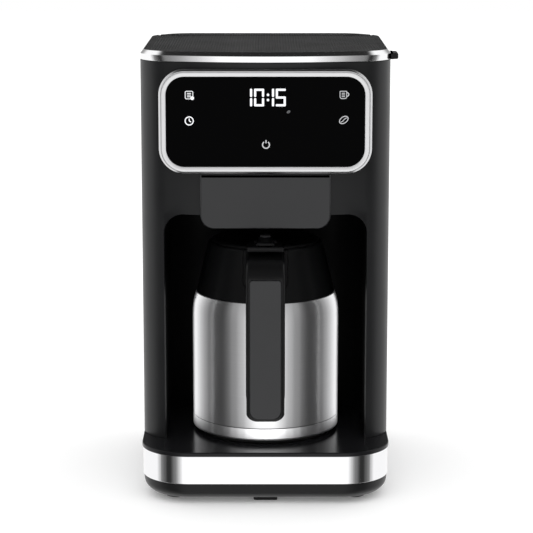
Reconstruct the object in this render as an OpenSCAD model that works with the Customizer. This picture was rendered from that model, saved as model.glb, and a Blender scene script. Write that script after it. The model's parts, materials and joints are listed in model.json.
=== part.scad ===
// Drip coffee maker with a touch panel and a thermal carafe.
// Millimetres, +Z up, +X to the right, the front faces -Y.
// The origin is on the counter, at the centre of the base's footprint.

/* [Tower] */
// Width of the tower and of the base
body_w = 208; // [206:1:210]
// Depth of the tower, front to back
tower_d = 208; // [207:1:210]
// How far the base stands out in front of the tower
base_step = 33; // [30:1:34]
// Radius of the bowed front
bow_r = 300; // [290:5:320]
// Radius of the tower's front corners
front_r = 30; // [28:1:32]
// Radius of the back corners
back_r = 40; // [38:1:42]
// Thickness of the moulded shells
wall = 2.5; // [2.3:0.1:2.6]

/* [Base] */
// Height of the rubber feet
foot_h = 2.8; // [2.5:0.1:3]
// Height of the tapered pan below the band
pan_h = 15.1; // [15:0.1:15.5]
// Height of the bright band
band_h = 23.9; // [23.5:0.1:24.5]
// Thickness of the deck under the carafe
deck_h = 3.4; // [3.2:0.1:3.6]
// Radius of the base's corners
base_r = 40; // [38:1:42]

/* [Alcove and head] */
// Width of the alcove
alcove_w = 169.4; // [168:0.2:170]
// Height of the alcove above the deck
alcove_h = 192.8; // [192.6:0.1:193]
// Radius of the alcove's upper corners
alcove_r = 17; // [14:1:20]
// Height of the head above the alcove, up to the lid
head_h = 125.7; // [125.6:0.1:126]
// Width of the panel over the brew head
panel_w = 107; // [104:1:108]
// How far that panel hangs into the alcove
panel_drop = 10.2; // [9.8:0.1:10.4]

/* [Touch panel] */
// Outer width of the bright bezel
bezel_w = 174; // [172:1:175]
// Outer height of the bezel
bezel_h = 85.5; // [84:0.5:86]
// Width of the bezel's rim seen from the front
bezel_rim = 6; // [5.5:0.5:6.5]
// Outer corner radius of the bezel
bezel_r = 21; // [20:1:22]

/* [Lid] */
// Height of the lid with its ring
lid_h = 8.3; // [8.3:0.1:8.5]
// Width of the bright ring, seen from above
ring_w = 3; // [2.8:0.1:3]
// How far the finger tab stands out
tab_out = 6.2; // [5:0.2:7]

/* [Carafe] */
// Outer radius of the steel body
carafe_r = 62.4; // [62:0.1:62.6]
// Radius of the collar at its top
collar_top_r = 48.9; // [48.6:0.1:49.2]
// Width of the handle
handle_w = 32; // [30:1:33]
// Reach of the handle in front of the carafe's axis
handle_reach = 100.5; // [98:0.5:102]

/* [Hidden] */
$fn = 64;
gap = 0.2;                  // play between pieces that only lie together
seam = 0.4;                 // open line between outside mouldings
run = 0.05;                 // radial play of a pin that turns in a bore
far = 400;                  // longer than any piece, for cutting
bow_seg = 14;               // straight steps along the bowed front
corner_seg = 7;             // straight steps round a corner

// heights, from the counter up
band_z = foot_h + pan_h;
deck_z = band_z + band_h;
deck_top = deck_z + deck_h;
alcove_top = deck_top + alcove_h;
head_top = alcove_top + head_h;
lid_z = head_top + seam;
lid_top = lid_z + lid_h;
inlay_top = lid_top - 0.5;

// depths, from the front to the back
base_y = -(tower_d + base_step) / 2;
back_y = -base_y;
tower_y = base_y + base_step;
split_y = 60;               // seam between the two halves of the tower
alcove_y = 38;              // back wall of the alcove
liner_t = 2.3;
liner_r = 30;

// brew head, on the carafe's axis
axis_y = -34;
holder_r = 48.4;
holder_t = 1.8;
holder_z = alcove_top - 6;
frame_z = head_top - 6.7;   // underside of the frame under the lid
basket_z = holder_z + 11;
basket_top = basket_z + 89;
basket_r = 46.1;
drip_r = 9;
drip_stem_r = 4.2;
drip_z = holder_z - 13;

// touch panel
bezel_z = alcove_top + 35.7;
bezel_y = tower_y - 5.5;    // front of the bezel
pod_y = bezel_y + 3;        // back of the bezel
bezel_bevel = 2.4;
glass_t = 2;
window_in = 9;              // from the bezel's edge to the window behind the glass

// hinge of the lid
hinge_y = 98;
barrel_r = 4;
hinge_z = lid_top - barrel_r;
plate_top = lid_z + 6.4;    // top of the lid's plate, under the ribbed inlay
cap_y = hinge_y + barrel_r + 0.7;
pin_r = 1.5;
ear_x = 74;
ear_w = 8;
ear_h = 6.5;
notch_w = ear_w + 1;

// water path
tank_y0 = 56;
tank_y1 = 112;
tank_w = 144;
tank_z = 140;
tank_top = 345;
tank_t = 2.2;
tank_r = 18;
heater_r = 25;
heater_tube_r = 9;
heater_z = 24;
riser_y = 48;
hose_x = 2 * heater_r;
hose_y = 70;
spout_z = 349.5;
spout_bend = 8;
tube_r = 4.5;
tube_bore = 3.2;

// carafe heights
foot_ring_z = deck_top + gap;
cup_z = foot_ring_z + 3.2;
shell_z = 59;
shell_top = 165;
collar_z = shell_top + 0.4;
collar_top = 208.4;
neck_r = 45.5;
lid_edge = 211;
valve_y = axis_y - 21;
lever_y = axis_y - 43;
lever_z = 213.6;
lever_pin_r = 1.1;
handle_y = axis_y - handle_reach;
handle_t = 12.5;
handle_top = 207.5;
handle_low = 74;

SCREWS = [[60, -70], [-60, -70], [60, 92], [-60, 92]];
FEET = [[75, -90], [-75, -90], [75, 90], [-75, 90]];
foot_r = 9;
pad_w = 20;
pad_back = 96;
screw_r = 1.5;
screw_head_r = 3.4;
screw_len = 15;
boss_r = 4;
skirt = 6;                  // depth of the deck's skirt inside the band

// cord gland, in the back wall
gland_x = -45;
gland_z = 62;
gland_r = 8;

// carafe details
steel_t = 0.9;
beak_y = axis_y + 57;
arm_low = 79;               // lower arm of the handle, bottom and top
arm_high = 93;
arm_top = 191;              // underside of the upper arm
handle_soft = 12;           // inner corner radius of the hand loop
handle_crown = 15.5;        // outer corner radius at its top
inlay_in = 3.1;             // from the handle's side to its inlay
ear_out = 8.1;              // from the middle to a lever ear
stem_r = 2.5;

// handle screws, as [depth, height of the shank's foot]
HANDLE_SCREWS = [[-104, arm_top], [-106, arm_low]];

// ---- outlines ----

// points of an arc in n steps; skip drops that many at its start
function arc(cx, cy, r, a0, a1, n, skip = 0) =
    [for (i = [skip:n]) let (a = a0 + (a1 - a0) * i / n) [cx + r * cos(a), cy + r * sin(a)]];

// plan of the tower, moved inwards by inset: bowed front, round corners, flat sides and back
function tower(inset) =
    let (hw = body_w / 2 - inset, rf = front_r - inset, rb = back_r - inset, rr = bow_r - inset,
         yc = tower_y + bow_r, a = asin((hw - rf) / (rr - rf)), cy = yc - (rr - rf) * cos(a),
         yb = back_y - inset - rb)
    concat(arc(0, yc, rr, 270 - a, 270 + a, bow_seg),
           arc(hw - rf, cy, rf, 270 + a, 360, corner_seg, 1),
           arc(hw - rb, yb, rb, 0, 90, corner_seg),
           arc(rb - hw, yb, rb, 90, 180, corner_seg),
           [for (p = arc(hw - rf, cy, rf, 360, 270 + a, corner_seg)) if (p[1] > cy - rf * cos(a) + 0.01)
               [-p[0], p[1]]]);

// rectangle from x0,y0 to x1,y1 with one radius at its low corners and one at its high ones
function round_box(x0, y0, x1, y1, r_low, r_high) =
    concat(arc(x1 - r_low, y0 + r_low, r_low, 270, 360, corner_seg),
           arc(x1 - r_high, y1 - r_high, r_high, 0, 90, corner_seg),
           arc(x0 + r_high, y1 - r_high, r_high, 90, 180, corner_seg),
           arc(x0 + r_low, y0 + r_low, r_low, 180, 270, corner_seg));

// plan of the base, moved inwards by inset
function base(inset) =
    let (hw = body_w / 2 - inset)
    round_box(-hw, base_y + inset, hw, back_y - inset, base_r - inset, back_r - inset);

// ---- solid helpers ----

module slab(points, z0, z1) translate([0, 0, z0]) linear_extrude(z1 - z0) polygon(points);

// upright wall between two plans
module wall_between(outer, inner, z0, z1) difference() {
    slab(outer, z0, z1);
    slab(inner, z0 - 1, z1 + 1);
}

// outline drawn in X and Z, from y0 back to y1
module front_plate(points, y0, y1)
    translate([0, y1, 0]) rotate([90, 0, 0]) linear_extrude(y1 - y0) polygon(points);

// outline drawn in Y and Z, from x0 to x1
module side_plate(points, x0, x1)
    translate([x0, 0, 0]) rotate([90, 0, 90]) linear_extrude(x1 - x0) polygon(points);

// round bar along X
module bar_x(r, x0, x1, y, z) translate([x0, y, z]) rotate([0, 90, 0]) cylinder(r = r, h = x1 - x0);

// turned shape on the brew axis, from [radius, height] points
module turned(points) translate([0, axis_y, 0]) rotate_extrude() polygon(points);

// everything in front of, or behind, a given depth
module before(y) translate([-far, y - 2 * far, -far]) cube(2 * far);
module behind(y) translate([-far, y, -far]) cube([2 * far, far, 2 * far]);

module tube(r, bore, x, y, z0, z1) translate([x, y, z0]) difference() {
    cylinder(r = r, h = z1 - z0);
    translate([0, 0, -1]) cylinder(r = bore, h = z1 - z0 + 2);
}

// coil spring: a wire swept along a helix between two heights
module coil(r, wire, z0, z1, turns) {
    sides = 6;
    steps = 14 * turns;
    ring = [for (i = [0:steps]) let (a = 360 * turns * i / steps, z = z0 + (z1 - z0) * i / steps)
        for (j = [0:sides - 1]) let (b = 360 * j / sides, q = r + wire * cos(b))
            [q * cos(a), q * sin(a), z + wire * sin(b)]];
    skin = [for (i = [0:steps - 1], j = [0:sides - 1]) let (k = (j + 1) % sides)
        [i * sides + j, i * sides + k, (i + 1) * sides + k, (i + 1) * sides + j]];
    ends = [[for (j = [0:sides - 1]) sides - 1 - j], [for (j = [0:sides - 1]) steps * sides + j]];
    polyhedron(ring, concat(skin, ends));
}

// ---- base ----

module base_pan() color("#26272a") {
    low_in = 14;
    mid_in = 8;
    top_in = 1.2;
    mid_z = foot_h + 4.2;
    flat = 0.2;
    difference() {
        union() {
            hull() {
                slab(base(low_in), foot_h, foot_h + flat);
                slab(base(mid_in), mid_z, mid_z + flat);
            }
            hull() {
                slab(base(mid_in), mid_z, mid_z + flat);
                slab(base(top_in), band_z - flat, band_z);
            }
            slab(base(1.9), band_z - flat, deck_z - gap);
        }
        hull() {
            slab(base(low_in + 3), foot_h + wall, foot_h + wall + flat);
            slab(base(mid_in + 3), mid_z + wall, mid_z + wall + flat);
        }
        hull() {
            slab(base(mid_in + 3), mid_z + wall, mid_z + wall + flat);
            slab(base(4.2), band_z, band_z + flat);
        }
        slab(base(4.2), band_z, deck_z + 1);
        for (p = SCREWS) translate([p[0], p[1], 0]) {
            cylinder(r = screw_r + 0.5, h = far / 10);
            cylinder(r = screw_head_r + 0.3, h = foot_h + 1.5);
        }
    }
}

module rubber_feet() color("#1c1c1d")
    for (p = FEET) translate([p[0], p[1], 0]) cylinder(r = foot_r, h = foot_h);

module centre_pad() color("#1c1c1d")
    slab(round_box(-pad_w / 2, base_y + 14.5, pad_w / 2, pad_back, 2, 2), 0, foot_h);

module pan_screws() color("silver")
    for (p = SCREWS) translate([p[0], p[1], foot_h + gap]) {
        cylinder(r = screw_head_r, h = 1.2);
        cylinder(r = screw_r, h = screw_len);
    }

module base_band() color("#e8e8ea") wall_between(base(0.8), base(1.8), band_z + gap / 2, deck_z - gap / 2);

module base_deck() color("#2b2c2f") difference() {
    union() {
        slab(base(0), deck_z, deck_top);
        wall_between(base(4.4), base(6), deck_z - skirt, deck_z + 1);
        for (p = SCREWS) translate([p[0], p[1], foot_h + wall + gap])
            cylinder(r = boss_r, h = deck_z - foot_h - wall);
    }
    for (p = SCREWS) translate([p[0], p[1], foot_h]) cylinder(r = screw_r, h = screw_len + gap);
    translate([hose_x, hose_y, 0]) cylinder(r = tube_r + 1.5, h = far);
    translate([0, riser_y, 0]) cylinder(r = tube_r + 1, h = far);
    translate([-30, 78, 0]) cylinder(r = 7, h = far);
}

// ---- tower ----

function alcove_hole() = round_box(-alcove_w / 2, deck_z - far / 8, alcove_w / 2, alcove_top, 1, alcove_r);

function bezel_shape(inset) =
    round_box(inset - bezel_w / 2, bezel_z + inset, bezel_w / 2 - inset, bezel_z + bezel_h - inset,
              bezel_r - inset, bezel_r - inset);

module tower_shell() wall_between(tower(0), tower(wall), deck_top + gap / 2, head_top);

module housing_front() color("#1d1e20") difference() {
    tower_shell();
    behind(split_y);
    front_plate(alcove_hole(), -far, 0);
    front_plate(bezel_shape(window_in - 0.5), -far, 0);
}

module housing_rear() color("#1d1e20") difference() {
    tower_shell();
    before(split_y + 0.1);
    vent = [4, 4 * wall, 11];
    pitch = [9, 16];
    for (i = [-4:4], k = [0:2])
        translate([i * pitch[0] - vent[0] / 2, back_y - 2 * wall, 70 + k * pitch[1]]) cube(vent);
    translate([gland_x, back_y + wall, gland_z]) rotate([90, 0, 0]) cylinder(r = gland_r, h = 4 * wall);
}

module alcove_liner() color("#121214") {
    out = alcove_w / 2 + liner_t;
    back = alcove_y + liner_t;
    difference() {
        intersection() {
            slab(tower(wall + gap), deck_top + gap / 2, alcove_top + liner_t);
            slab(round_box(-out, -far / 2, out, back, 1, liner_r), 0, far);
        }
        slab(round_box(-alcove_w / 2, -far / 2, alcove_w / 2, alcove_y, 1, liner_r - liner_t), 0, alcove_top);
        translate([0, axis_y, 0]) cylinder(r = holder_r + 0.6, h = far);
    }
}

module top_frame() color("#1a1a1c") difference() {
    union() {
        slab(tower(wall + gap), frame_z, frame_z + 3);
        wall_between(tower(wall + gap), tower(wall + gap + 1.6), frame_z, head_top - gap);
    }
    translate([0, axis_y, 0]) cylinder(r = holder_r - holder_t, h = far);
    slab(round_box(-68, tank_y0 + 4, 68, hinge_y - 6, 8, 8), 0, far);
}

// bright ring with a chamfered top edge, all round the tower's plan
module ring() difference() {
    union() {
        slab(tower(0), lid_z, lid_z + 5);
        hull() {
            slab(tower(0), lid_z + 5, lid_z + 5.05);
            slab(tower(ring_w - 0.2), lid_top - 0.05, lid_top);
        }
    }
    slab(tower(ring_w), 0, far);
}

// keeps what lies ahead of the hinge, with a round barrel along its rear edge
module lid_side() intersection() {
    children();
    union() {
        before(hinge_y);
        bar_x(barrel_r, -far / 3, far / 3, hinge_y, hinge_z);
    }
}

module notches() for (s = [-1, 1])
    translate([s * ear_x - notch_w / 2, hinge_y - barrel_r - 0.5, lid_z - 2]) cube([notch_w, 20, 20]);

module rear_cap() color("#1f2022") difference() {
    union() {
        intersection() {
            slab(tower(ring_w + gap), lid_z + gap, inlay_top);
            behind(cap_y);
        }
        for (s = [-1, 1]) {
            bar_x(barrel_r - 0.3, s * ear_x - ear_w / 2, s * ear_x + ear_w / 2, hinge_y, hinge_z);
            translate([s * ear_x - ear_w / 2, hinge_y, lid_z + gap]) cube([ear_w, cap_y - hinge_y + 1, ear_h]);
        }
    }
    bar_x(pin_r + run, -far / 3, far / 3, hinge_y, hinge_z);
}

module rear_ring() color("#d8d8da") intersection() {
    ring();
    behind(cap_y);
}

module brew_panel() color("#34363a") {
    hw = panel_w / 2;
    front = tower_y - 2.8;
    difference() {
        front_plate(round_box(-hw, alcove_top - panel_drop, hw, bezel_z - seam, 11, 1), front, tower_y + 12);
        slab(tower(0), alcove_top - gap, far);
        translate([-far / 2, front + 3.5, 0]) cube([far, far, alcove_top + gap]);
    }
}

module brew_cover() color("#151517") {
    r = panel_w / 2 - 2;
    front = tower_y + 1;
    z0 = alcove_top - 9;
    difference() {
        union() {
            translate([0, axis_y, z0]) cylinder(r = r, h = 8.9);
            translate([-r, front, z0]) cube([2 * r, axis_y - front, 8.9]);
        }
        translate([0, axis_y, z0 + 2.4]) cylinder(r = r - 2, h = 10);
        translate([2 - r, front + 2, z0 + 2.4]) cube([2 * r - 4, axis_y - front - 2, 10]);
        translate([0, axis_y, 0]) cylinder(r = drip_r + 3, h = far);
    }
}

module control_pod() color("#1b1c1e") difference() {
    front_plate(bezel_shape(bezel_bevel + 0.1), pod_y, tower_y + 18);
    slab(tower(0), 0, far);
    front_plate(bezel_shape(window_in), -far, 0);
}

module bezel() color("#dcdcde") difference() {
    union() {
        front_plate(bezel_shape(0), bezel_y + 1.6, pod_y);
        front_plate(bezel_shape(bezel_bevel), bezel_y, bezel_y + 2);
    }
    front_plate(bezel_shape(bezel_rim), -far, 0);
}

module touch_glass() color("#050506")
    front_plate(bezel_shape(bezel_rim + gap), bezel_y + seam, bezel_y + seam + glass_t);

module display_module() color("#d9d9d2")
    translate([-32, bezel_y + seam + glass_t + gap, 304]) cube([64, 3, 41]);

module control_board() color("#1f5b34") {
    y0 = bezel_y + seam + glass_t + gap + 3.2;
    translate([-74, y0, 287]) cube([148, 1.6, 59]);
    for (s = [-1, 1]) translate([s * 55 - 7, y0 + 1.5, 305]) cube([14, 2.5, 16]);
}

// ---- inside ----

module power_board() color("#1f5b34") {
    translate([-60, 113, 60]) cube([100, 1.6, 66]);
    translate([-50, 97, 68]) cube([26, 16.1, 22]);
    translate([-12, 101, 100]) cube([19, 12.1, 16]);
    translate([22, 113.1, 80]) rotate([90, 0, 0]) cylinder(r = 6, h = 18);
}

module heater() color("#b9bcc0") translate([heater_r, riser_y, heater_z]) {
    rotate([0, 0, 180]) rotate_extrude(angle = 180) translate([heater_r, 0]) circle(r = heater_tube_r);
    for (p = [[-1, 6], [1, hose_y - riser_y + 6]])
        translate([p[0] * heater_r, 0, 0]) rotate([-90, 0, 0]) cylinder(r = heater_tube_r, h = p[1]);
    translate([-heater_r, 0, 0]) cylinder(r = tube_r, h = heater_tube_r + 2);
    translate([heater_r, hose_y - riser_y, 0]) cylinder(r = tube_r, h = heater_tube_r + 2);
}

module thermal_fuses() color("#c9a46a")
    for (a = [240, 300])
        translate([heater_r + heater_r * cos(a), riser_y + heater_r * sin(a), heater_z + heater_tube_r + gap])
            cylinder(r = 7, h = 5);

module cold_hose() color("#e6e6e0")
    tube(tube_r, tube_bore, hose_x, hose_y, heater_z + heater_tube_r + 2, tank_z - 12);

module riser_tube() color("#e6e6e0")
    tube(tube_r, tube_bore, 0, riser_y, heater_z + heater_tube_r + 2, spout_z - spout_bend);

module spout() color("#e6e6e0") difference() {
    spout_line(tube_r);
    spout_line(tube_bore);
}

// quarter bend from the riser, then level forward to the wall of the basket well
module spout_line(r) {
    bend_y = riser_y - spout_bend;
    end_y = axis_y + holder_r - holder_t + 0.2;
    translate([0, bend_y, spout_z - spout_bend]) rotate([90, 0, 90])
        rotate_extrude(angle = 90) translate([spout_bend, 0]) circle(r = r);
    translate([0, bend_y, spout_z]) rotate([90, 0, 0]) cylinder(r = r, h = bend_y - end_y);
}

module water_tank() color("#9fb4c4", 0.5) difference() {
    slab(round_box(-tank_w / 2, tank_y0, tank_w / 2, tank_y1, tank_r, tank_r), tank_z, tank_top);
    slab(round_box(tank_t - tank_w / 2, tank_y0 + tank_t, tank_w / 2 - tank_t, tank_y1 - tank_t,
                   tank_r - tank_t, tank_r - tank_t), tank_z + tank_t, tank_top + 1);
    translate([hose_x, hose_y, 0]) cylinder(r = 5, h = far);
}

module tank_valve() color("#3a3b3e") translate([hose_x, hose_y, tank_z - 12]) {
    cylinder(r = 8, h = 12 - gap / 2);
    cylinder(r = 5 - run, h = 18);
}

module cord_gland() color("#161617") translate([gland_x, back_y, gland_z]) rotate([90, 0, 0]) difference() {
    translate([0, 0, -2]) union() {
        cylinder(r = 11, h = 2 - gap / 2);
        cylinder(r = gland_r - run, h = 7.5);
    }
    translate([0, 0, -5]) cylinder(r = 3.6, h = 20);
}

// ---- brew head ----

module basket_holder() color("#1b1b1d") difference() {
    ri = holder_r - holder_t;
    turned([[drip_r + 2, holder_z], [holder_r, holder_z], [holder_r, frame_z - gap / 2],
            [ri, frame_z - gap / 2], [ri, holder_z + 2.5], [drip_r + 2, holder_z + 2.5]]);
    translate([0, axis_y + far / 4, spout_z]) rotate([90, 0, 0]) cylinder(r = tube_r + run, h = far / 4);
}

module filter_basket() color("#232427")
    turned([[drip_stem_r + 0.4, basket_z], [40, basket_z], [44.6, basket_top - 2], [basket_r, basket_top - 2],
            [basket_r, basket_top], [42.6, basket_top], [38, basket_z + 2], [drip_stem_r + 0.4, basket_z + 2]]);

module gold_filter() color("#c8a24a") {
    z0 = basket_z + 13;
    z1 = basket_top + 1;
    turned([[0, z0], [32, z0], [41.2, z1 - 0.9], [45.4, z1 - 0.9], [45.4, z1], [40.6, z1],
            [31.4, z0 + 0.7], [0, z0 + 0.7]]);
}

module basket_handle() color("#2a2b2e") translate([0, axis_y, basket_top + 4])
    rotate([0, 0, 180]) rotate_extrude(angle = 180) translate([43, 0]) circle(r = 1.8);

module drip_stop() color("#3b3c40")
    turned([[0, drip_z], [drip_r - 1.5, drip_z], [drip_r, drip_z + 1.5], [drip_r, drip_z + 14],
            [drip_stem_r, drip_z + 14], [drip_stem_r, basket_z + 3.9], [8, basket_z + 3.9],
            [8, basket_z + 6], [0, basket_z + 6]]);

module drip_spring() color("silver") translate([0, axis_y, 0])
    coil(6.3, 0.55, drip_z + 14.7, basket_z - 0.7, 4);

module drip_seal() color("#b5483a")
    turned([[4.7, basket_z + 2.1], [7.6, basket_z + 2.1], [7.6, basket_z + 3.7], [4.7, basket_z + 3.7]]);

// ---- lid ----

module lid_plate() color("#1f2022") difference() {
    lid_side() slab(tower(ring_w + gap), lid_z + gap, plate_top);
    notches();
    bar_x(pin_r, -ear_x - 10, ear_x + 10, hinge_y, hinge_z);
}

module lid_ring() color("#d8d8da") lid_side() ring();

module lid_inlay() color("#2a2b2e") difference() {
    lid_side() slab(tower(ring_w + gap), plate_top + gap, inlay_top);
    notches();
}

module lid_tab() color("#1b1b1d") {
    x0 = body_w / 2;
    difference() {
        slab([[x0 - 6, -58], [x0 + tab_out, -54], [x0 + tab_out, -32], [x0 - 6, -26]], lid_z, lid_z + 4.9);
        slab(tower(-gap / 4), 0, far);
    }
}

module hinge_pins() color("silver") for (s = [-1, 1])
    bar_x(pin_r, s * ear_x - 10, s * ear_x + 10, hinge_y, hinge_z);

module shower_plate() color("#3a3b3e") difference() {
    turned([[0, frame_z - 5], [30, frame_z - 5], [30, frame_z - 2.5], [8, frame_z - 2.5],
            [8, lid_z + gap / 2], [0, lid_z + gap / 2]]);
    for (i = [0:7]) translate([22 * cos(45 * i), axis_y + 22 * sin(45 * i), frame_z - 6])
        cylinder(r = 1.5, h = 5);
}

// ---- carafe ----

module carafe_foot() color("#1a1a1b")
    turned([[48, foot_ring_z], [57, foot_ring_z], [58, foot_ring_z + 1], [58, cup_z - gap / 2],
            [48, cup_z - gap / 2]]);

module carafe_base() color("#c4c6c8")
    turned([[0, cup_z], [58.6, cup_z], [61.6, cup_z + 1.6], [carafe_r, cup_z + 4], [carafe_r, shell_z - 0.4],
            [carafe_r - 1.1, shell_z - 0.4], [carafe_r - 1.1, cup_z + 4.4], [58.2, cup_z + 1.2],
            [0, cup_z + 1.2]]);

module carafe_shell() color("#c4c6c8") {
    r = carafe_r;
    t = steel_t;
    turned([[r, shell_z], [r, 138], [r - 0.4, 150], [r - 1.2, 158], [r - 2.2, 163.5], [r - 3.4, shell_top],
            [neck_r + 0.1, shell_top], [neck_r + 0.1, shell_top - t], [r - 3.8, shell_top - t],
            [r - 3.1, 163], [r - 2.1, 157.8], [r - 1.3, 149.9], [r - t, 138], [r - t, shell_z]]);
}

module carafe_flask() color("#b4b6b9") {
    r = 57.5;
    t = 0.8;
    z0 = 55;
    turned([[0, z0], [r - 7, z0], [r, z0 + 7], [r, 146], [r - 3.5, 156], [neck_r, 162.5], [neck_r, 199],
            [neck_r - t, 199], [neck_r - t, 162.1], [r - 4.1, 155.5], [r - t, 145.9], [r - t, z0 + 7.4],
            [r - 7.4, z0 + t], [0, z0 + t]]);
}

module carafe_collar() color("#1e1f21") difference() {
    union() {
        turned([[58.7, collar_z], [collar_top_r, collar_top - 1.6], [collar_top_r - 1.3, collar_top],
                [neck_r + 0.8, collar_top], [neck_r + 0.8, 200], [55.9, collar_z]]);
        difference() {
            hull() {
                translate([0, axis_y + 44, collar_top - 14]) cylinder(r = 9, h = 14, $fn = 32);
                translate([0, beak_y, collar_top - 1.5]) cylinder(r = 3, h = 1.5, $fn = 32);
            }
            turned([[0, 150], [57, 168], [48, 203], [48, collar_top + 1], [0, collar_top + 1]]);
        }
    }
    hull() {
        translate([0, axis_y + 40, collar_top - 6]) cylinder(r = 6, h = 12, $fn = 32);
        translate([0, beak_y, collar_top - 1]) cylinder(r = 1.5, h = 12, $fn = 32);
    }
}

// hand loop seen from the side, with one arm to the collar and one to the steel body
function handle_side() =
    let (yi = handle_y + handle_t, r = handle_soft, ro = handle_crown)
    concat([[handle_y, handle_low], [handle_y, handle_top - ro]],
           arc(handle_y + ro, handle_top - ro, ro, 180, 90, corner_seg, 1),
           [[axis_y - 45, handle_top], [axis_y - 45, arm_top]],
           arc(yi + r, arm_top - r, r, 90, 180, corner_seg),
           arc(yi + r, arm_high + r, r, 180, 270, corner_seg),
           [[axis_y - 55, arm_high], [axis_y - 55, arm_low], [yi + 8, arm_low], [yi, handle_low]]);

module carafe_handle() color("#232427") {
    hw = handle_w / 2;
    difference() {
        intersection() {
            side_plate(handle_side(), -hw, hw);
            front_plate(round_box(-hw, handle_low, hw, far, 10, 1), -far, 0);
        }
        front_plate(round_box(-hw + 2.8, handle_low + 3.2, hw - 2.8, handle_top - 14, 7.5, 3),
                    handle_y - 1, handle_y + 2.2);
        turned([[0, 60], [carafe_r + gap, 60], [carafe_r + gap, shell_top], [58.9, collar_z],
                [collar_top_r + gap, collar_top - 1.6], [collar_top_r + gap, far], [0, far]]);
        for (p = HANDLE_SCREWS) translate([0, p[0], p[1] - 1]) cylinder(r = 2, h = 10);
    }
}

module handle_inlay() color("#34363a") {
    hw = handle_w / 2 - inlay_in;
    front_plate(round_box(-hw, handle_low + 3.5, hw, handle_top - 14.3, 7.2, 2.7), handle_y - 0.3, handle_y + 2);
}

module handle_screws() color("silver")
    for (p = HANDLE_SCREWS) translate([0, p[0], p[1]]) {
        cylinder(r = 2, h = 8);
        translate([0, 0, -1.2]) cylinder(r = 3.2, h = 1.1);
        translate([0, 0, -0.5]) cylinder(r = 1.9, h = 1);
    }

module carafe_lid() color("#1c1d1f") difference() {
    union() {
        turned([[5, 190], [42.3, 190], [42.3, 204], [45.9, 204], [45.9, lid_edge - 1.4], [44.6, lid_edge],
                [20, lid_edge], [10, lid_edge - 3.5], [5, lid_edge - 3.5]]);
        for (s = [-1, 1]) {
            bar_x(2.4, s * ear_out - 1.5, s * ear_out + 1.5, lever_y, lever_z);
            translate([s * ear_out - 1.5, lever_y - 2.2, lid_edge - 2]) cube([3, 4.4, lever_z - lid_edge + 2]);
        }
    }
    translate([0, valve_y, 0]) {
        cylinder(r = stem_r + 2 * run, h = far);
        cylinder(r = 6.6, h = 193.6);
    }
    bar_x(lever_pin_r, -far / 8, far / 8, lever_y, lever_z);
}

module carafe_seal() color("#8a8c8f")
    turned([[42.4, 193], [neck_r - 1, 193], [neck_r - 1, 196], [42.4, 196]]);

module thumb_lever() color("#26272a") difference() {
    union() {
        front_plate(round_box(-15.3, 209.8, 15.3, 214.8, 1.2, 1.6), axis_y - 70, axis_y - 50);
        front_plate(round_box(-7.6, 213, 7.6, 217.6, 1, 2), axis_y - 67, axis_y - 55);
        translate([-6, axis_y - 51, 211.7]) cube([12, 34, 2.7]);
        bar_x(2.2, -6, 6, lever_y, lever_z);
    }
    bar_x(lever_pin_r + run, -far / 8, far / 8, lever_y, lever_z);
    translate([0, valve_y, 200]) cylinder(r = 3.4, h = 30);
}

module lever_pin() color("silver") bar_x(lever_pin_r, -9.5, 9.5, lever_y, lever_z);

module pour_valve() color("#6f7276") translate([0, valve_y, 0]) {
    translate([0, 0, 187.6]) cylinder(r = 6, h = 2.3);
    translate([0, 0, 189]) cylinder(r = stem_r, h = 26);
    translate([0, 0, 214.9]) cylinder(r = 4.6, h = 1.5);
}

base_pan();
rubber_feet();
centre_pad();
pan_screws();
base_band();
base_deck();
housing_front();
housing_rear();
alcove_liner();
top_frame();
rear_cap();
rear_ring();
brew_panel();
brew_cover();
control_pod();
bezel();
touch_glass();
display_module();
control_board();
power_board();
heater();
thermal_fuses();
cold_hose();
riser_tube();
spout();
water_tank();
tank_valve();
basket_holder();
filter_basket();
gold_filter();
basket_handle();
drip_stop();
drip_spring();
drip_seal();
cord_gland();
lid_plate();
lid_ring();
lid_inlay();
lid_tab();
hinge_pins();
shower_plate();
carafe_foot();
carafe_base();
carafe_shell();
carafe_flask();
carafe_collar();
carafe_handle();
handle_inlay();
handle_screws();
carafe_lid();
carafe_seal();
thumb_lever();
lever_pin();
pour_valve();
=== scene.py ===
# %% [markdown]
# # A drip coffee maker and its thermal carafe
# The machine is a black moulded tower on a base with a bright band. A touch panel sits in a satin bezel,
# a ribbed lid closes the top, and a steel carafe stands in the alcove. Every solid part comes from a
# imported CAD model, which stays where it is. This script gives the parts their looks: it rebuilds the
# visible skins as smooth surfaces, and it mixes a procedural finish for each material.

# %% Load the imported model
import json
import math

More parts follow.
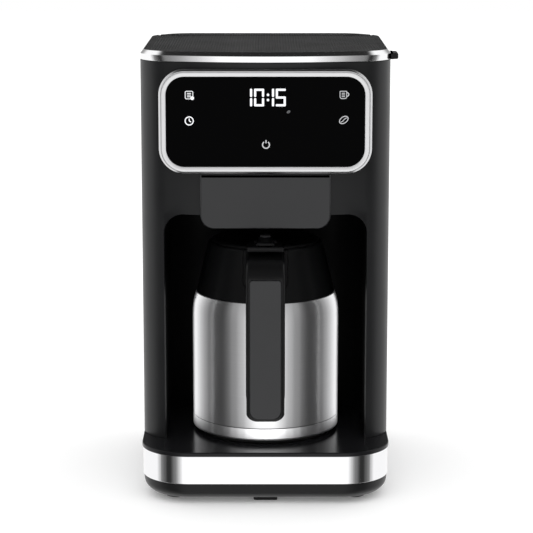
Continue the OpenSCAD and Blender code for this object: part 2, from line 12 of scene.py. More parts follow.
import bmesh
import bpy
import numpy as np
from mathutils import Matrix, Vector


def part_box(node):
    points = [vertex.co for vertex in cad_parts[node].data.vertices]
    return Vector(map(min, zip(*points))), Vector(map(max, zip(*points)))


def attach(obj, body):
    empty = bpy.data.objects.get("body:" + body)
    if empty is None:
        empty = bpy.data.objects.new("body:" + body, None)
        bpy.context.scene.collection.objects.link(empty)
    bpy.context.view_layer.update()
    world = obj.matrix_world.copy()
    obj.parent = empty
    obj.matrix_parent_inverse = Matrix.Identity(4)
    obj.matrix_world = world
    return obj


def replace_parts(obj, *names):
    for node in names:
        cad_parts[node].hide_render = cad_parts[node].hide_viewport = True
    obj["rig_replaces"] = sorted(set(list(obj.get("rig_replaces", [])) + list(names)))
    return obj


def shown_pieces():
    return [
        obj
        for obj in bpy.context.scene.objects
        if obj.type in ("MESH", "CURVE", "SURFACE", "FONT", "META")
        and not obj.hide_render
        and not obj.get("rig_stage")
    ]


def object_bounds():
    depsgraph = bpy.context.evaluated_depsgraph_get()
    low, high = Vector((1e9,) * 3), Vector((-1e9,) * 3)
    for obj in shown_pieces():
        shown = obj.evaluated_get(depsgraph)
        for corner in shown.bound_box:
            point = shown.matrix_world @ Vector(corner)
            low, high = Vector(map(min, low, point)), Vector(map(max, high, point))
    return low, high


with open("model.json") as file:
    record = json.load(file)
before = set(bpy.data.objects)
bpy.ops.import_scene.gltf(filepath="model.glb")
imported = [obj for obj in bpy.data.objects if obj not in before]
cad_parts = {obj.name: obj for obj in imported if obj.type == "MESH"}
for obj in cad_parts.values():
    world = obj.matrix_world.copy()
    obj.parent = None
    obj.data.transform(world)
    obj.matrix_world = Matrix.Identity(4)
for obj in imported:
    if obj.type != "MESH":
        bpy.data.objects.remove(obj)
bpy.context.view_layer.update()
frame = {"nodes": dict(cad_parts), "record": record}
scene = bpy.context.scene

# %% [markdown]
# ## Measures taken from the model
# A new skin has to sit exactly on the part it stands for. So its sizes are read from the model's own
# boxes, in millimetres, and only the radii and thicknesses that a box can't tell are written down here.

# %% Boxes and driving measures
MM = 0.001
LOW, HIGH = {}, {}
for name in frame["nodes"]:
    low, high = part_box(name)
    LOW[name], HIGH[name] = np.array(low) / MM, np.array(high) / MM

half_w = HIGH["housing_front"][0]
tower_y = LOW["housing_front"][1]
back_y = HIGH["housing_rear"][1]
base_y = LOW["base_deck"][1]
split_y = HIGH["housing_front"][1]
head_top = HIGH["housing_front"][2]
deck_z = HIGH["base_deck"][2] - 3.4
deck_top = HIGH["base_deck"][2]
lid_top = HIGH["lid_ring"][2]
axis_y = (LOW["carafe_foot"][1] + HIGH["carafe_foot"][1]) / 2
alcove_half = HIGH["alcove_liner"][0] - 2.3
alcove_back = HIGH["alcove_liner"][1] - 2.3
alcove_top = HIGH["alcove_liner"][2] - 2.3
bow_r, front_r, back_r, base_r = 300, 30, 40, 40
wall = 2.5
hinge_y, barrel_r = 98, 4
hinge_z = lid_top - barrel_r
print(f"tower {2 * half_w:.0f} mm wide, head top {head_top:.1f}, carafe axis at y {axis_y:.1f}")

# %% [markdown]
# ## Camera
# A long lens from well in front keeps the tower's sides almost parallel, as in a catalogue picture. The
# camera stands a little above the machine's middle and looks down by eleven degrees, so that the ribbed
# top and the deck both show.

# %% Camera
lens = bpy.data.cameras.new("camera")
lens.sensor_width = 36
lens.lens = 136.98
camera = bpy.data.objects.new("camera", lens)
camera.location = (0.0009, -1.7352, 0.5150)
camera.rotation_euler = (math.radians(90 - 10.97), 0, 0)
scene.collection.objects.link(camera)
scene.camera = camera
scene.view_settings.view_transform = "Standard"
print("camera", tuple(camera.location), "lens", lens.lens)

# %% [markdown]
# ## Floor and studio light
# Polished trim has hardly any look of its own: it shows what stands round it. So the light is a studio
# made of the world alone. What a matt surface receives is an even white, while a polished one sees a
# bright card in front, dark flags beside it and bright walls behind, all fading softly into each other.
# The same studio stays round the object whatever side it is looked at from.

# %% A small node builder
def node(tree, kind, inputs=(), **settings):
    """Adds a node, sets its properties, then fills its inputs with values or links them to sockets."""
    made = tree.nodes.new(kind)
    for name, value in settings.items():
        setattr(made, name, value)
    for key, value in dict(inputs).items():
        if isinstance(value, bpy.types.NodeSocket):
            tree.links.new(value, made.inputs[key])
        else:
            made.inputs[key].default_value = value
    return made


def maths(tree, operation, *values):
    """One Math node, as the socket of its result."""
    return node(tree, "ShaderNodeMath", dict(enumerate(values)), operation=operation).outputs[0]


def ramp(tree, factor, stops):
    """A colour ramp from (position, brightness) pairs, as the socket of its colour."""
    made = node(tree, "ShaderNodeValToRGB", {0: factor})
    made.color_ramp.interpolation = "EASE"
    elements = made.color_ramp.elements
    while len(elements) < len(stops):
        elements.new(0.5)
    for element, (position, value) in zip(elements, stops):
        element.position = position
        element.color = (value, value, value, 1)
    return made.outputs[0]


def blend(tree, factor, first, second):
    """A mix of two colours, as the socket of its result."""
    made = node(tree, "ShaderNodeMix", {0: factor, 6: first, 7: second}, data_type="RGBA")
    return made.outputs[2]


def degrees(stops):
    """Ramp stops whose positions are angles from 0 to 180 degrees."""
    return [(angle / 180, value) for angle, value in stops]


# %% The studio in the world
world = bpy.data.worlds.new("studio")
scene.world = world
world.use_nodes = True
world.cycles.sampling_method = "NONE"
sky = world.node_tree
sky.nodes.clear()
way = node(sky, "ShaderNodeSeparateXYZ", {0: node(sky, "ShaderNodeTexCoord").outputs["Generated"]})
side = maths(sky, "ABSOLUTE", way.outputs[0])
azimuth = maths(sky, "ARCTAN2", side, maths(sky, "MULTIPLY", way.outputs[1], -1.0))
turn = maths(sky, "DIVIDE", azimuth, math.pi)
low_ring = ramp(sky, turn, degrees([(0, 1.12), (15, 1.1), (20, .83), (24, .6), (31, .3), (34, .2), (48, .03),
                                    (55, .03), (62, .11), (72, .22), (77, .58), (88, 1)]))
high_ring = ramp(sky, turn, degrees([(0, .12), (50, .12), (75, .35), (92, 1), (128, 1), (150, .35),
                                     (172, .08)]))


def rise(from_degrees, to_degrees):
    """0 below one elevation and 1 above the other, with a soft step between them."""
    low, high = math.sin(math.radians(from_degrees)), math.sin(math.radians(to_degrees))
    made = node(sky, "ShaderNodeMapRange", {0: way.outputs[2], 1: low, 2: high},
                interpolation_type="SMOOTHSTEP")
    return made.outputs[0]


middle = blend(sky, rise(-2, 12), low_ring, high_ring)
studio = blend(sky, rise(50, 65), middle, (.02, .02, .02, 1))
rays = node(sky, "ShaderNodeLightPath")
even = blend(sky, rays.outputs["Is Diffuse Ray"], studio, (1.2, 1.2, 1.2, 1))
seen = blend(sky, rays.outputs["Is Camera Ray"], even, (1.0, 1.0, 1.0, 1))
background = node(sky, "ShaderNodeBackground", {0: seen, 1: 1.0})
node(sky, "ShaderNodeOutputWorld", {0: background.outputs[0]})
print("studio has", len(sky.nodes), "nodes")

# %% [markdown]
# ## Finishes: effects that several materials share
# A moulded part is never quite one colour: its mould leaves a fine grain, and its gloss varies a little.
# Brushed steel has long thin scratches that all run one way. Each of these effects is a node group, made
# once and placed in each material with its own values. A group only puts out colours, values and normals,
# and the shader itself stays in the material.

# %% Node groups
def effect(name, inputs, outputs):
    """An empty group with named sockets; returns its tree, its input node and its output node."""
    tree = bpy.data.node_groups.new(name, "ShaderNodeTree")
    for kind, direction in ((inputs, "INPUT"), (outputs, "OUTPUT")):
        for label, socket in kind.items():
            tree.interface.new_socket(label, in_out=direction, socket_type="NodeSocket" + socket)
    return tree, tree.nodes.new("NodeGroupInput"), tree.nodes.new("NodeGroupOutput")


def varied(tree, noise, amount, value):
    """The value raised or lowered by up to amount, as the noise says."""
    swing = maths(tree, "MULTIPLY", maths(tree, "SUBTRACT", noise, 0.5), amount)
    return maths(tree, "ADD", value, swing)


def grain_group():
    """Moulded plastic: a fine pebble relief, cloudy tone and gloss, and a little more shine on edges."""
    tree, given, made = effect(
        "moulded_grain",
        {"Color": "Color", "Roughness": "Float", "Grain": "Float", "Depth": "Float", "Cloud": "Float"},
        {"Color": "Color", "Roughness": "Float", "Normal": "Vector"})
    place = node(tree, "ShaderNodeTexCoord").outputs["Object"]
    fine = node(tree, "ShaderNodeTexNoise",
                {"Vector": place, "Scale": given.outputs["Grain"], "Detail": 3.0})
    cloud = node(tree, "ShaderNodeTexNoise", {"Vector": place, "Scale": 34.0, "Detail": 4.0})
    tone = varied(tree, cloud.outputs[0], given.outputs["Cloud"], 1.0)
    color = node(tree, "ShaderNodeVectorMath", {0: given.outputs["Color"], 3: tone}, operation="SCALE")
    edge = node(tree, "ShaderNodeNewGeometry").outputs["Pointiness"]
    rubbed = node(tree, "ShaderNodeMapRange", {0: edge, 1: 0.53, 2: 0.62, 3: 0.0, 4: 0.08}).outputs[0]
    gloss = maths(tree, "SUBTRACT", varied(tree, cloud.outputs[0], 0.12, given.outputs["Roughness"]), rubbed)
    bump = node(tree, "ShaderNodeBump", {"Height": fine.outputs[0], "Distance": given.outputs["Depth"],
                                         "Strength": 1.0})
    for label, socket in (("Color", color.outputs[0]), ("Roughness", gloss), ("Normal", bump.outputs[0])):
        tree.links.new(socket, made.inputs[label])
    return tree


def brushed_group():
    """Brushed metal: streaks along the first coordinate of Vector, in tone, gloss and relief."""
    tree, given, made = effect(
        "brushed_streaks",
        {"Vector": "Vector", "Color": "Color", "Roughness": "Float", "Streaks": "Float", "Depth": "Float"},
        {"Color": "Color", "Roughness": "Float", "Normal": "Vector"})
    thin = node(tree, "ShaderNodeVectorMath", {0: given.outputs["Vector"], 1: (14.0, 2600.0, 2600.0)},
                operation="MULTIPLY")
    lines = node(tree, "ShaderNodeTexNoise", {"Vector": thin.outputs[0], "Scale": 1.0, "Detail": 2.0})
    wide = node(tree, "ShaderNodeTexNoise",
                {"Vector": given.outputs["Vector"], "Scale": 25.0, "Detail": 3.0})
    tone = varied(tree, lines.outputs[0], given.outputs["Streaks"], 1.0)
    color = node(tree, "ShaderNodeVectorMath", {0: given.outputs["Color"], 3: tone}, operation="SCALE")
    gloss = varied(tree, wide.outputs[0], 0.05, given.outputs["Roughness"])
    bump = node(tree, "ShaderNodeBump", {"Height": lines.outputs[0], "Distance": given.outputs["Depth"],
                                         "Strength": 1.0})
    for label, socket in (("Color", color.outputs[0]), ("Roughness", gloss), ("Normal", bump.outputs[0])):
        tree.links.new(socket, made.inputs[label])
    return tree


GRAIN, BRUSHED = grain_group(), brushed_group()
print("groups:", GRAIN.name, BRUSHED.name)

# %% [markdown]
# ## Finishes: one material for each slot
# The record names a slot for every finish on the object. Moulded plastics share one recipe and differ in
# colour, gloss and grain. Metals share another. Clear and lit parts have a shader of their own.

# %% Recipes
FINISH = {}


def shader(slot, **sockets):
    """A new material for a slot, with a Principled shader whose plain numbers are set on its sockets."""
    material = bpy.data.materials.new(slot)
    material.use_nodes = True
    bsdf = material.node_tree.nodes["Principled BSDF"]
    for label, value in sockets.items():
        bsdf.inputs[label.replace("_", " ")].default_value = value
    FINISH[slot] = material
    return material.node_tree, bsdf


def placed(tree, group, bsdf, normal, **values):
    """Puts a group in a material and links its outputs to the shader."""
    made = node(tree, "ShaderNodeGroup", node_tree=group)
    for label, value in values.items():
        if isinstance(value, bpy.types.NodeSocket):
            tree.links.new(value, made.inputs[label])
        else:
            made.inputs[label].default_value = value
    tree.links.new(made.outputs["Color"], bsdf.inputs["Base Color"])
    tree.links.new(made.outputs["Roughness"], bsdf.inputs["Roughness"])
    if normal:
        tree.links.new(made.outputs["Normal"], bsdf.inputs["Normal"])
    return made


def plastic(slot, color, roughness, specular=0.5, grain=1600.0, depth=0.00002, cloud=0.2):
    """Moulded plastic or rubber."""
    tree, bsdf = shader(slot, Specular_IOR_Level=specular)
    placed(tree, GRAIN, bsdf, True, Color=(*color, 1), Roughness=roughness, Grain=grain, Depth=depth,
           Cloud=cloud)


def metal(slot, color, roughness, streaks=0.1, depth=0.000004, anisotropic=0.0, along="Object"):
    """Brushed or satin metal; streaks run round the part where it has a surface map."""
    tree, bsdf = shader(slot, Metallic=1.0, Anisotropic=anisotropic, Anisotropic_Rotation=0.25)
    place = node(tree, "ShaderNodeTexCoord").outputs[along]
    placed(tree, BRUSHED, bsdf, depth > 0, Vector=place, Color=(*color, 1), Roughness=roughness,
           Streaks=streaks, Depth=depth)
    if along == "UV":
        tangent = node(tree, "ShaderNodeTangent", direction_type="UV_MAP", uv_map="surface")
        tree.links.new(tangent.outputs[0], bsdf.inputs["Tangent"])


# %% Plastics, rubber and silicone
plastic("pan_plastic", (.007, .007, .0075), .38, specular=.25)
plastic("rubber", (.012, .012, .012), .75, specular=.3, grain=900.0, depth=.00004)
plastic("deck_plastic", (.009, .009, .01), .2, depth=.000004, specular=.2)
plastic("shell_plastic", (.010, .0102, .011), .36, specular=.35)
plastic("alcove_plastic", (.004, .004, .0043), .55, specular=.12)
plastic("lid_plastic", (.0095, .0097, .0105), .42, specular=.25)
plastic("panel_plastic", (.0185, .019, .0205), .40, specular=.5)
plastic("valve_plastic", (.05, .05, .054), .45)
plastic("basket_plastic", (.018, .018, .019), .42)
plastic("silicone_tube", (.72, .71, .66), .45, grain=700.0)
plastic("seal_silicone", (.36, .35, .33), .55, grain=900.0)
plastic("carafe_plastic", (.0042, .0043, .0047), .34, specular=.28)
print("plastics:", len(FINISH))

# %% Metals
metal("screw_steel", (.56, .56, .58), .3)
metal("band_steel", (.93, .93, .94), .07, streaks=.04, depth=0.0)
metal("bright_trim", (.80, .80, .81), .3, streaks=.06, depth=.000001)
metal("ring_steel", (.97, .97, .98), .13, streaks=.04, depth=0.0)
metal("heater_aluminium", (.6, .61, .63), .42, streaks=.2)
metal("fuse_brass", (.62, .44, .2), .35)
metal("carafe_steel", (.80, .80, .81), .33, streaks=.12, anisotropic=.75, along="UV")
metal("flask_steel", (.62, .63, .64), .28, streaks=.1)
print("finishes so far:", len(FINISH))


# %% [markdown]
# The gold filter is a very fine woven mesh. At this size its holes are too small to be cut, so two sets of
# crossing waves give the relief of the wires, and the same waves paint shade: the gold is darker in the
# hollows between the wires. The circuit boards get a mottled green lacquer, the panel glass is a black
# pane with a soft clear coat, and the tank is a smoky clear plastic.

# %% Woven, lacquered, clear and lit finishes
def woven_gold():
    """Two crossing sets of fine waves, multiplied, as the relief of a wire cloth and as painted shade in its
    hollows.
    """
    tree, bsdf = shader("gold_mesh", Metallic=1.0, Roughness=.34)
    place = node(tree, "ShaderNodeTexCoord").outputs["Object"]
    wires = [node(tree, "ShaderNodeTexWave", {"Vector": place, "Scale": 260.0}, bands_direction=way)
             for way in ("DIAGONAL", "Z")]
    relief_and_shade = maths(tree, "MULTIPLY", wires[0].outputs["Fac"], wires[1].outputs["Fac"])
    bump = node(tree, "ShaderNodeBump", {"Height": relief_and_shade, "Distance": .0002, "Strength": .8})
    # painted shade: the colour goes to a dark gold where the weave is low, in the hollows between the wires
    color = blend(tree, relief_and_shade, (.28, .17, .045, 1), (.86, .62, .26, 1))
    tree.links.new(color, bsdf.inputs["Base Color"])
    tree.links.new(bump.outputs[0], bsdf.inputs["Normal"])


def board_lacquer():
    """Green lacquer with darker copper paths under it, from a stepped cell pattern."""
    tree, bsdf = shader("circuit_board", Roughness=.3)
    place = node(tree, "ShaderNodeTexCoord").outputs["Object"]
    cells = node(tree, "ShaderNodeTexVoronoi", {"Vector": place, "Scale": 160.0}, distance="MANHATTAN")
    tracks = maths(tree, "GREATER_THAN", cells.outputs["Distance"], .45)
    tree.links.new(blend(tree, tracks, (.008, .09, .035, 1), (.02, .17, .07, 1)), bsdf.inputs["Base Color"])


def black_glass():
    """A black pane: nearly no body colour, a weak even reflection, and faint wipe marks in its gloss."""
    tree, bsdf = shader("panel_glass", Specular_IOR_Level=.02)
    bsdf.inputs["Base Color"].default_value = (.0006, .0006, .0007, 1)
    place = node(tree, "ShaderNodeTexCoord").outputs["Object"]
    wipe = node(tree, "ShaderNodeTexNoise", {"Vector": place, "Scale": 18.0, "Detail": 2.0})
    tree.links.new(varied(tree, wipe.outputs[0], .06, .12), bsdf.inputs["Roughness"])


def smoky_clear():
    """Clear plastic with a blue-grey tint and a slightly uneven gloss."""
    tree, bsdf = shader("tank_clear", IOR=1.49, Transmission_Weight=.8)
    bsdf.inputs["Base Color"].default_value = (.5, .58, .66, 1)
    place = node(tree, "ShaderNodeTexCoord").outputs["Object"]
    cloud = node(tree, "ShaderNodeTexNoise", {"Vector": place, "Scale": 30.0, "Detail": 2.0})
    tree.links.new(varied(tree, cloud.outputs[0], .1, .16), bsdf.inputs["Roughness"])


def lit(name, brightness):
    """A glowing sign: its light is a little uneven, as a diffuser over small lamps is."""
    tree, bsdf = shader(name, Emission_Strength=brightness, Roughness=.5)
    bsdf.inputs["Base Color"].default_value = (.02, .02, .02, 1)
    place = node(tree, "ShaderNodeTexCoord").outputs["Object"]
    cloud = node(tree, "ShaderNodeTexNoise", {"Vector": place, "Scale": 120.0})
    color = blend(tree, cloud.outputs[0], (.92, .94, 1, 1), (1, 1, 1, 1))
    tree.links.new(color, bsdf.inputs["Emission Color"])


woven_gold()
board_lacquer()
black_glass()
smoky_clear()
for name, brightness in (("display", 1.1), ("display_soft", .62), ("display_dim", .3)):
    lit(name, brightness)
print("finishes:", ", ".join(FINISH))

# %% [markdown]
# ## Rounded outlines
# Almost every moulding here is an outline carried along a profile. A designer draws the outline with
# sharp corners and then fillets them. The same is done below for all corners at once: the centre of each
# fillet lies on the corner's bisector, and the arc is a blend of its two end spokes.


# %% Outlines, profiles and how one is carried along the other
def outline(points, radii, steps=10):
    """Closed outline with its corners rounded, and the outward normal at each of its points.
    Each corner becomes steps + 1 points of the circle that touches both sides: centre plus
    (sin((1 - s) turn) first spoke + sin(s turn) last spoke) / sin(turn), for s from 0 to 1."""
    corner = np.asarray(points, float)
    radius = np.maximum(np.broadcast_to(np.asarray(radii, float), len(corner)), 0.03)[:, None]
    back = np.roll(corner, 1, 0) - corner
    ahead = np.roll(corner, -1, 0) - corner
    back /= np.linalg.norm(back, axis=1, keepdims=True)
    ahead /= np.linalg.norm(ahead, axis=1, keepdims=True)
    half = np.arccos(np.clip((back * ahead).sum(1, keepdims=True), -1, 1)) / 2
    middle = back + ahead
    middle /= np.linalg.norm(middle, axis=1, keepdims=True)
    centre = corner + middle * radius / np.sin(half)
    reach = radius / np.tan(half)
    turn = (np.pi - 2 * half)[:, :, None]
    s = np.linspace(0, 1, steps + 1)[None, :, None]
    first, last = (corner + back * reach - centre)[:, None], (corner + ahead * reach - centre)[:, None]
    spokes = (np.sin((1 - s) * turn) * first + np.sin(s * turn) * last) / np.sin(turn)
    side = np.sign(back[:, 1] * ahead[:, 0] - back[:, 0] * ahead[:, 1])[:, None, None]
    normals = spokes / radius[:, :, None] * side
    return (centre[:, None] + spokes).reshape(-1, 2), normals.reshape(-1, 2)


def profile(points, radii, steps=4):
    """Open line through the points, with its inner corners rounded as in outline()."""
    arcs = outline(points, radii, steps)[0].reshape(len(points), steps + 1, 2)
    ends = np.asarray([points[0], points[-1]], float)
    return np.vstack([ends[:1], arcs[1:-1].reshape(-1, 2), ends[1:]])


def carried(shape, line):
    """point(u, v): the outline's point u moved inwards along its normal by the first number of the
    profile's point v, at the height of its second number. The last u repeats the first."""
    ring, normals = shape
    line = np.asarray(line, float)
    flat = ring[:, None] - normals[:, None] * line[None, :, :1]
    height = np.broadcast_to(line[None, :, 1:], flat.shape[:2] + (1,))
    return looped(np.concatenate([flat, height], 2))


def looped(points, axis=0):
    """The same points with the first row repeated at the end, so that the surface closes."""
    return np.concatenate([points, np.take(points, [0], axis)], axis)


def upright(points):
    """Swaps depth and height, so that an outline drawn flat stands up and faces the front."""
    return points[..., [0, 2, 1]]


def rectangle(x0, z0, x1, z1):
    """The four corners of a rectangle, counter-clockwise."""
    return [(x0, z0), (x1, z0), (x1, z1), (x0, z1)]


def block(low, high, soft, steps=4):
    """Profile of a slab from one height to another, with both rims rounded by soft."""
    return profile([(soft * 2, low), (0, low), (0, high), (soft * 2, high)], [0, soft, soft, 0], steps)


def turned(line, x=0.0, y=None, sides=144):
    """point(u, v): the profile's radius at v, turned by the angle u round an upright axis, at the
    profile's height at v. The seam is at the back."""
    line = np.asarray(line, float)
    angle = np.linspace(0.5, 2.5, sides + 1)[:, None] * np.pi
    centre = axis_y if y is None else y
    return np.stack([x + np.cos(angle) * line[:, 0], centre + np.sin(angle) * line[:, 0],
                     np.broadcast_to(line[:, 1], (sides + 1, len(line)))], 2)


print("a filleted square has", len(outline(rectangle(0, 0, 1, 1), 0.2)[0]), "points")

# %% [markdown]
# ## The tower's plan
# The tower is not a plain rectangle: its front bows out on a large radius, runs into round corners, goes
# straight back along the sides and closes on larger corners behind. Shell, lid ring and lid all follow this
# one line, so it is a function of the length walked along it from the front's middle.

# %% The plan by arc length
lean = math.asin((half_w - front_r) / (bow_r - front_r))
corner_y = tower_y + bow_r - (bow_r - front_r) * math.cos(lean)
LENGTHS = [bow_r * lean, front_r * (math.pi / 2 - lean), back_y - back_r - corner_y, back_r * math.pi / 2,
           half_w - back_r]
KNOT = np.concatenate([[0], np.cumsum(LENGTHS)])
HEADING = np.array([0, lean, math.pi / 2, math.pi / 2, math.pi, math.pi])
CENTRE = np.array([(0, tower_y + bow_r), (half_w - front_r, corner_y), (half_w, corner_y),
                   (half_w - back_r, back_y - back_r), (half_w - back_r, back_y)])
GOING = np.array([(0, 0), (0, 0), (0, 1), (0, 0), (-1, 0)])
RADIUS = np.array([bow_r, front_r, 0, back_r, 0])


def tower(s, inset=0.0):
    """Point of the plan at arc length s (to the right of the front's middle, or to the left if negative),
    moved inwards by inset: centre of its stretch, plus radius less inset along the outward normal."""
    s, inset = np.broadcast_arrays(np.asarray(s, float), inset)
    s = (s + KNOT[-1]) % (2 * KNOT[-1]) - KNOT[-1]
    walked = np.abs(s)
    stretch = np.clip(np.searchsorted(KNOT, walked, side="right") - 1, 0, 4)
    heading = np.interp(walked, KNOT, HEADING)
    normal = np.stack([np.sin(heading), -np.cos(heading)], -1)
    base = CENTRE[stretch] + GOING[stretch] * (walked - KNOT[stretch])[..., None]
    point = base + normal * (RADIUS[stretch] - inset)[..., None]
    return point * np.stack([np.where(s < 0, -1.0, 1.0), np.ones_like(s)], -1)


def length_at(y, inset=0.0):
    """Arc length at which the side, or the back corner behind it, reaches a depth y."""
    behind = np.clip((y - (back_y - back_r)) / (back_r - inset), 0, 1)
    return np.where(y < back_y - back_r, KNOT[2] + y - corner_y, KNOT[3] + back_r * np.arcsin(behind))


def length_across(x):
    """Arc length at which the front reaches a distance x from the middle."""
    bend = np.arcsin(np.clip((x - (half_w - front_r)) / front_r, -1, 1))
    return np.where(x < bow_r * math.sin(lean), bow_r * np.arcsin(x / bow_r),
                    KNOT[1] + front_r * (bend - lean))


def front_depth(x, inset=0.0):
    """Depth of the front surface at a distance x from the middle."""
    x = np.abs(x)
    bow = tower_y + bow_r - np.sqrt(np.maximum((bow_r - inset) ** 2 - x ** 2, 0))
    corner = corner_y - np.sqrt(np.maximum((front_r - inset) ** 2 - (x - half_w + front_r) ** 2, 0))
    return np.where(x < (bow_r - inset) * math.sin(lean), bow, corner)


def plan_samples(start, end, arc_step=2.0, straight_step=9.0):
    """Arc lengths from start to end, closer together on the curved stretches."""
    stops = [start]
    edges = np.unique(np.concatenate([KNOT, -KNOT, 2 * KNOT[-1] - KNOT]))
    for edge in [e for e in edges if start < e < end] + [end]:
        middle = abs((stops[-1] + edge) / 2)
        middle = 2 * KNOT[-1] - middle if middle > KNOT[-1] else middle
        straight = KNOT[2] < middle < KNOT[3] or middle > KNOT[4]
        count = max(1, round((edge - stops[-1]) / (straight_step if straight else arc_step)))
        stops += list(np.linspace(stops[-1], edge, count + 1)[1:])
    return np.array(stops)


print(f"the plan is {2 * KNOT[-1]:.0f} mm round")

# %% [markdown]
# ## From points to a piece
# A surface is an array of points with two parameters. Neighbouring points make the quads, the distance
# along each parameter makes the surface map, and an open end can be closed by one flat face. Doubles are
# merged afterwards, so that seams and poles are shut, and the normals are turned outwards. A weighted
# normal modifier keeps large faces flat next to their small fillets.

# %% The piece builder
SHARP = math.radians(38)


def grid_faces(points, first, caps):
    """Quads between neighbouring points, numbered from first, and flat faces over the named ends."""
    u, v = points.shape[:2]
    index = first + np.arange(u * v).reshape(u, v)
    quads = np.stack([index[:-1, :-1], index[1:, :-1], index[1:, 1:], index[:-1, 1:]], -1)
    ends = {"v0": index[:-1, 0], "v1": index[:-1, -1], "u0": index[0, :-1], "u1": index[-1, :-1]}
    return quads.reshape(-1, 4).tolist() + [ends[cap].tolist() for cap in caps]


def grid_map(points):
    """Distance along u and along v, in metres, measured on the longest rows."""
    steps_u = np.linalg.norm(np.diff(points, axis=0), axis=-1).max(1)
    steps_v = np.linalg.norm(np.diff(points, axis=1), axis=-1).max(0)
    u = np.concatenate([[0], np.cumsum(steps_u)]) * MM
    v = np.concatenate([[0], np.cumsum(steps_v)]) * MM
    return np.stack(np.meshgrid(u, v, indexing="ij"), 2).reshape(-1, 2)


def surface(name, shells, outward_from=None):
    """One object from (points, caps) shells. An open sheet is turned to face away from outward_from."""
    vertices, faces, maps, count = [], [], [], 0
    for points, caps in shells:
        faces += grid_faces(points, count, caps)
        vertices.append(points.reshape(-1, 3))
        maps.append(grid_map(points))
        count += points.shape[0] * points.shape[1]
    mesh = bpy.data.meshes.new(name)
    mesh.from_pydata(np.vstack(vertices) * MM, [], faces)
    corner = np.zeros(len(mesh.loops), np.int64)
    mesh.loops.foreach_get("vertex_index", corner)
    layer = mesh.uv_layers.new(name="surface")
    layer.data.foreach_set("uv", np.vstack(maps)[corner].ravel())
    work = bmesh.new()
    work.from_mesh(mesh)
    bmesh.ops.remove_doubles(work, verts=work.verts, dist=3e-6)
    bmesh.ops.dissolve_degenerate(work, edges=work.edges, dist=1e-6)
    bmesh.ops.recalc_face_normals(work, faces=work.faces)
    work.to_mesh(mesh)
    work.free()
    if outward_from is not None and facing(mesh, outward_from) < 0:
        mesh.flip_normals()
    made = bpy.data.objects.new(name, mesh)
    scene.collection.objects.link(made)
    return made


def facing(mesh, middle):
    """Positive where most of the surface looks away from a point: the sum over faces of area times the
    dot product of normal and offset."""
    count = len(mesh.polygons)
    normal, centre, area = np.zeros(count * 3), np.zeros(count * 3), np.zeros(count)
    mesh.polygons.foreach_get("normal", normal)
    mesh.polygons.foreach_get("center", centre)
    mesh.polygons.foreach_get("area", area)
    offset = centre.reshape(-1, 3) - np.array(middle) * MM
    return ((normal.reshape(-1, 3) * offset).sum(1) * area).sum()


def apply_modifiers(made):
    """Replaces the object's mesh by what its modifiers make of it."""
    ready = made.evaluated_get(bpy.context.evaluated_depsgraph_get())
    mesh = bpy.data.meshes.new_from_object(ready)
    made.modifiers.clear()
    made.data = mesh


def cut(made, shells):
    """Cuts closed shells, clear of each other, out of a piece, and takes the cutter away again."""
    cutter = surface("cutter", shells)
    step = made.modifiers.new("cut", "BOOLEAN")
    step.object, step.operation, step.solver = cutter, "DIFFERENCE", "EXACT"
    bpy.context.view_layer.update()
    apply_modifiers(made)
    bpy.data.objects.remove(cutter)
    return made


def finished(made, body, slot, replaces=(), bevel=0.0, material=None):
    """Smooth shading with sharp creases, an optional small bevel, the finish, and the body it rides on."""
    made.data.shade_smooth()
    made.data.set_sharp_from_angle(angle=SHARP)
    if bevel:
        step = made.modifiers.new("soft edges", "BEVEL")
        step.width, step.segments = bevel * MM, 3
        step.limit_method, step.angle_limit = "ANGLE", math.radians(50)
        step.harden_normals = True
    made.modifiers.new("even shading", "WEIGHTED_NORMAL").keep_sharp = True
    made.data.materials.clear()
    made.data.materials.append(FINISH[material or slot])
    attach(made, body)
    if replaces:
        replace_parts(made, *replaces)
    print(f"{made.name}: {len(made.data.polygons)} faces")
    return made


# %% [markdown]
# ## The base
# The machine stands on a shallow pan that curves in towards its rubber feet. A bright steel band wraps the
# pan, and a glossy deck with a small rounded lip closes it. All three share one rounded rectangle, each
# with its own profile. The pan's screw wells are cut afterwards, because a round hole in a curved skin is
# easiest as a boolean.

# %% Pan, band, deck and feet
base_plan = outline(rectangle(-half_w, base_y, half_w, back_y), base_r, 16)
foot_h = HIGH["rubber_feet"][2]
band_low, band_high = LOW["base_band"][2], HIGH["base_band"][2]
screw_spots = [(x, y) for x in (-60, 60) for y in (-70, 92)]
foot_spots = [(x, y) for x in (-75, 75) for y in (-90, 90)]

pan_line = profile([(14, foot_h), (7.5, foot_h + 2.2), (2.4, 9.5), (1.2, band_low - .2),
                    (1.9, band_low - .2),
                    (1.9, deck_z - .2), (4.2, deck_z - .2), (4.4, 18), (11, 9.6), (17, foot_h + wall)],
                   [0, 5, 9, .4, .2, .3, .3, 2, 3, 0])
pan = surface("pan", [(carried(base_plan, pan_line), ("v0", "v1"))])
wells = [(turned([(3.7, -1), (3.7, 4.3), (2, 4.3), (2, 12)], x, y, 32), ("v0", "v1"))
         for x, y in screw_spots]
finished(cut(pan, wells), "machine", "pan_plastic", ["base_pan"])

band_line = looped(outline(rectangle(0.8, band_low, 1.8, band_high), .35, 4)[0])
finished(surface("steel_band", [(carried(base_plan, band_line), ())]), "machine", "band_steel",
         ["base_band"])

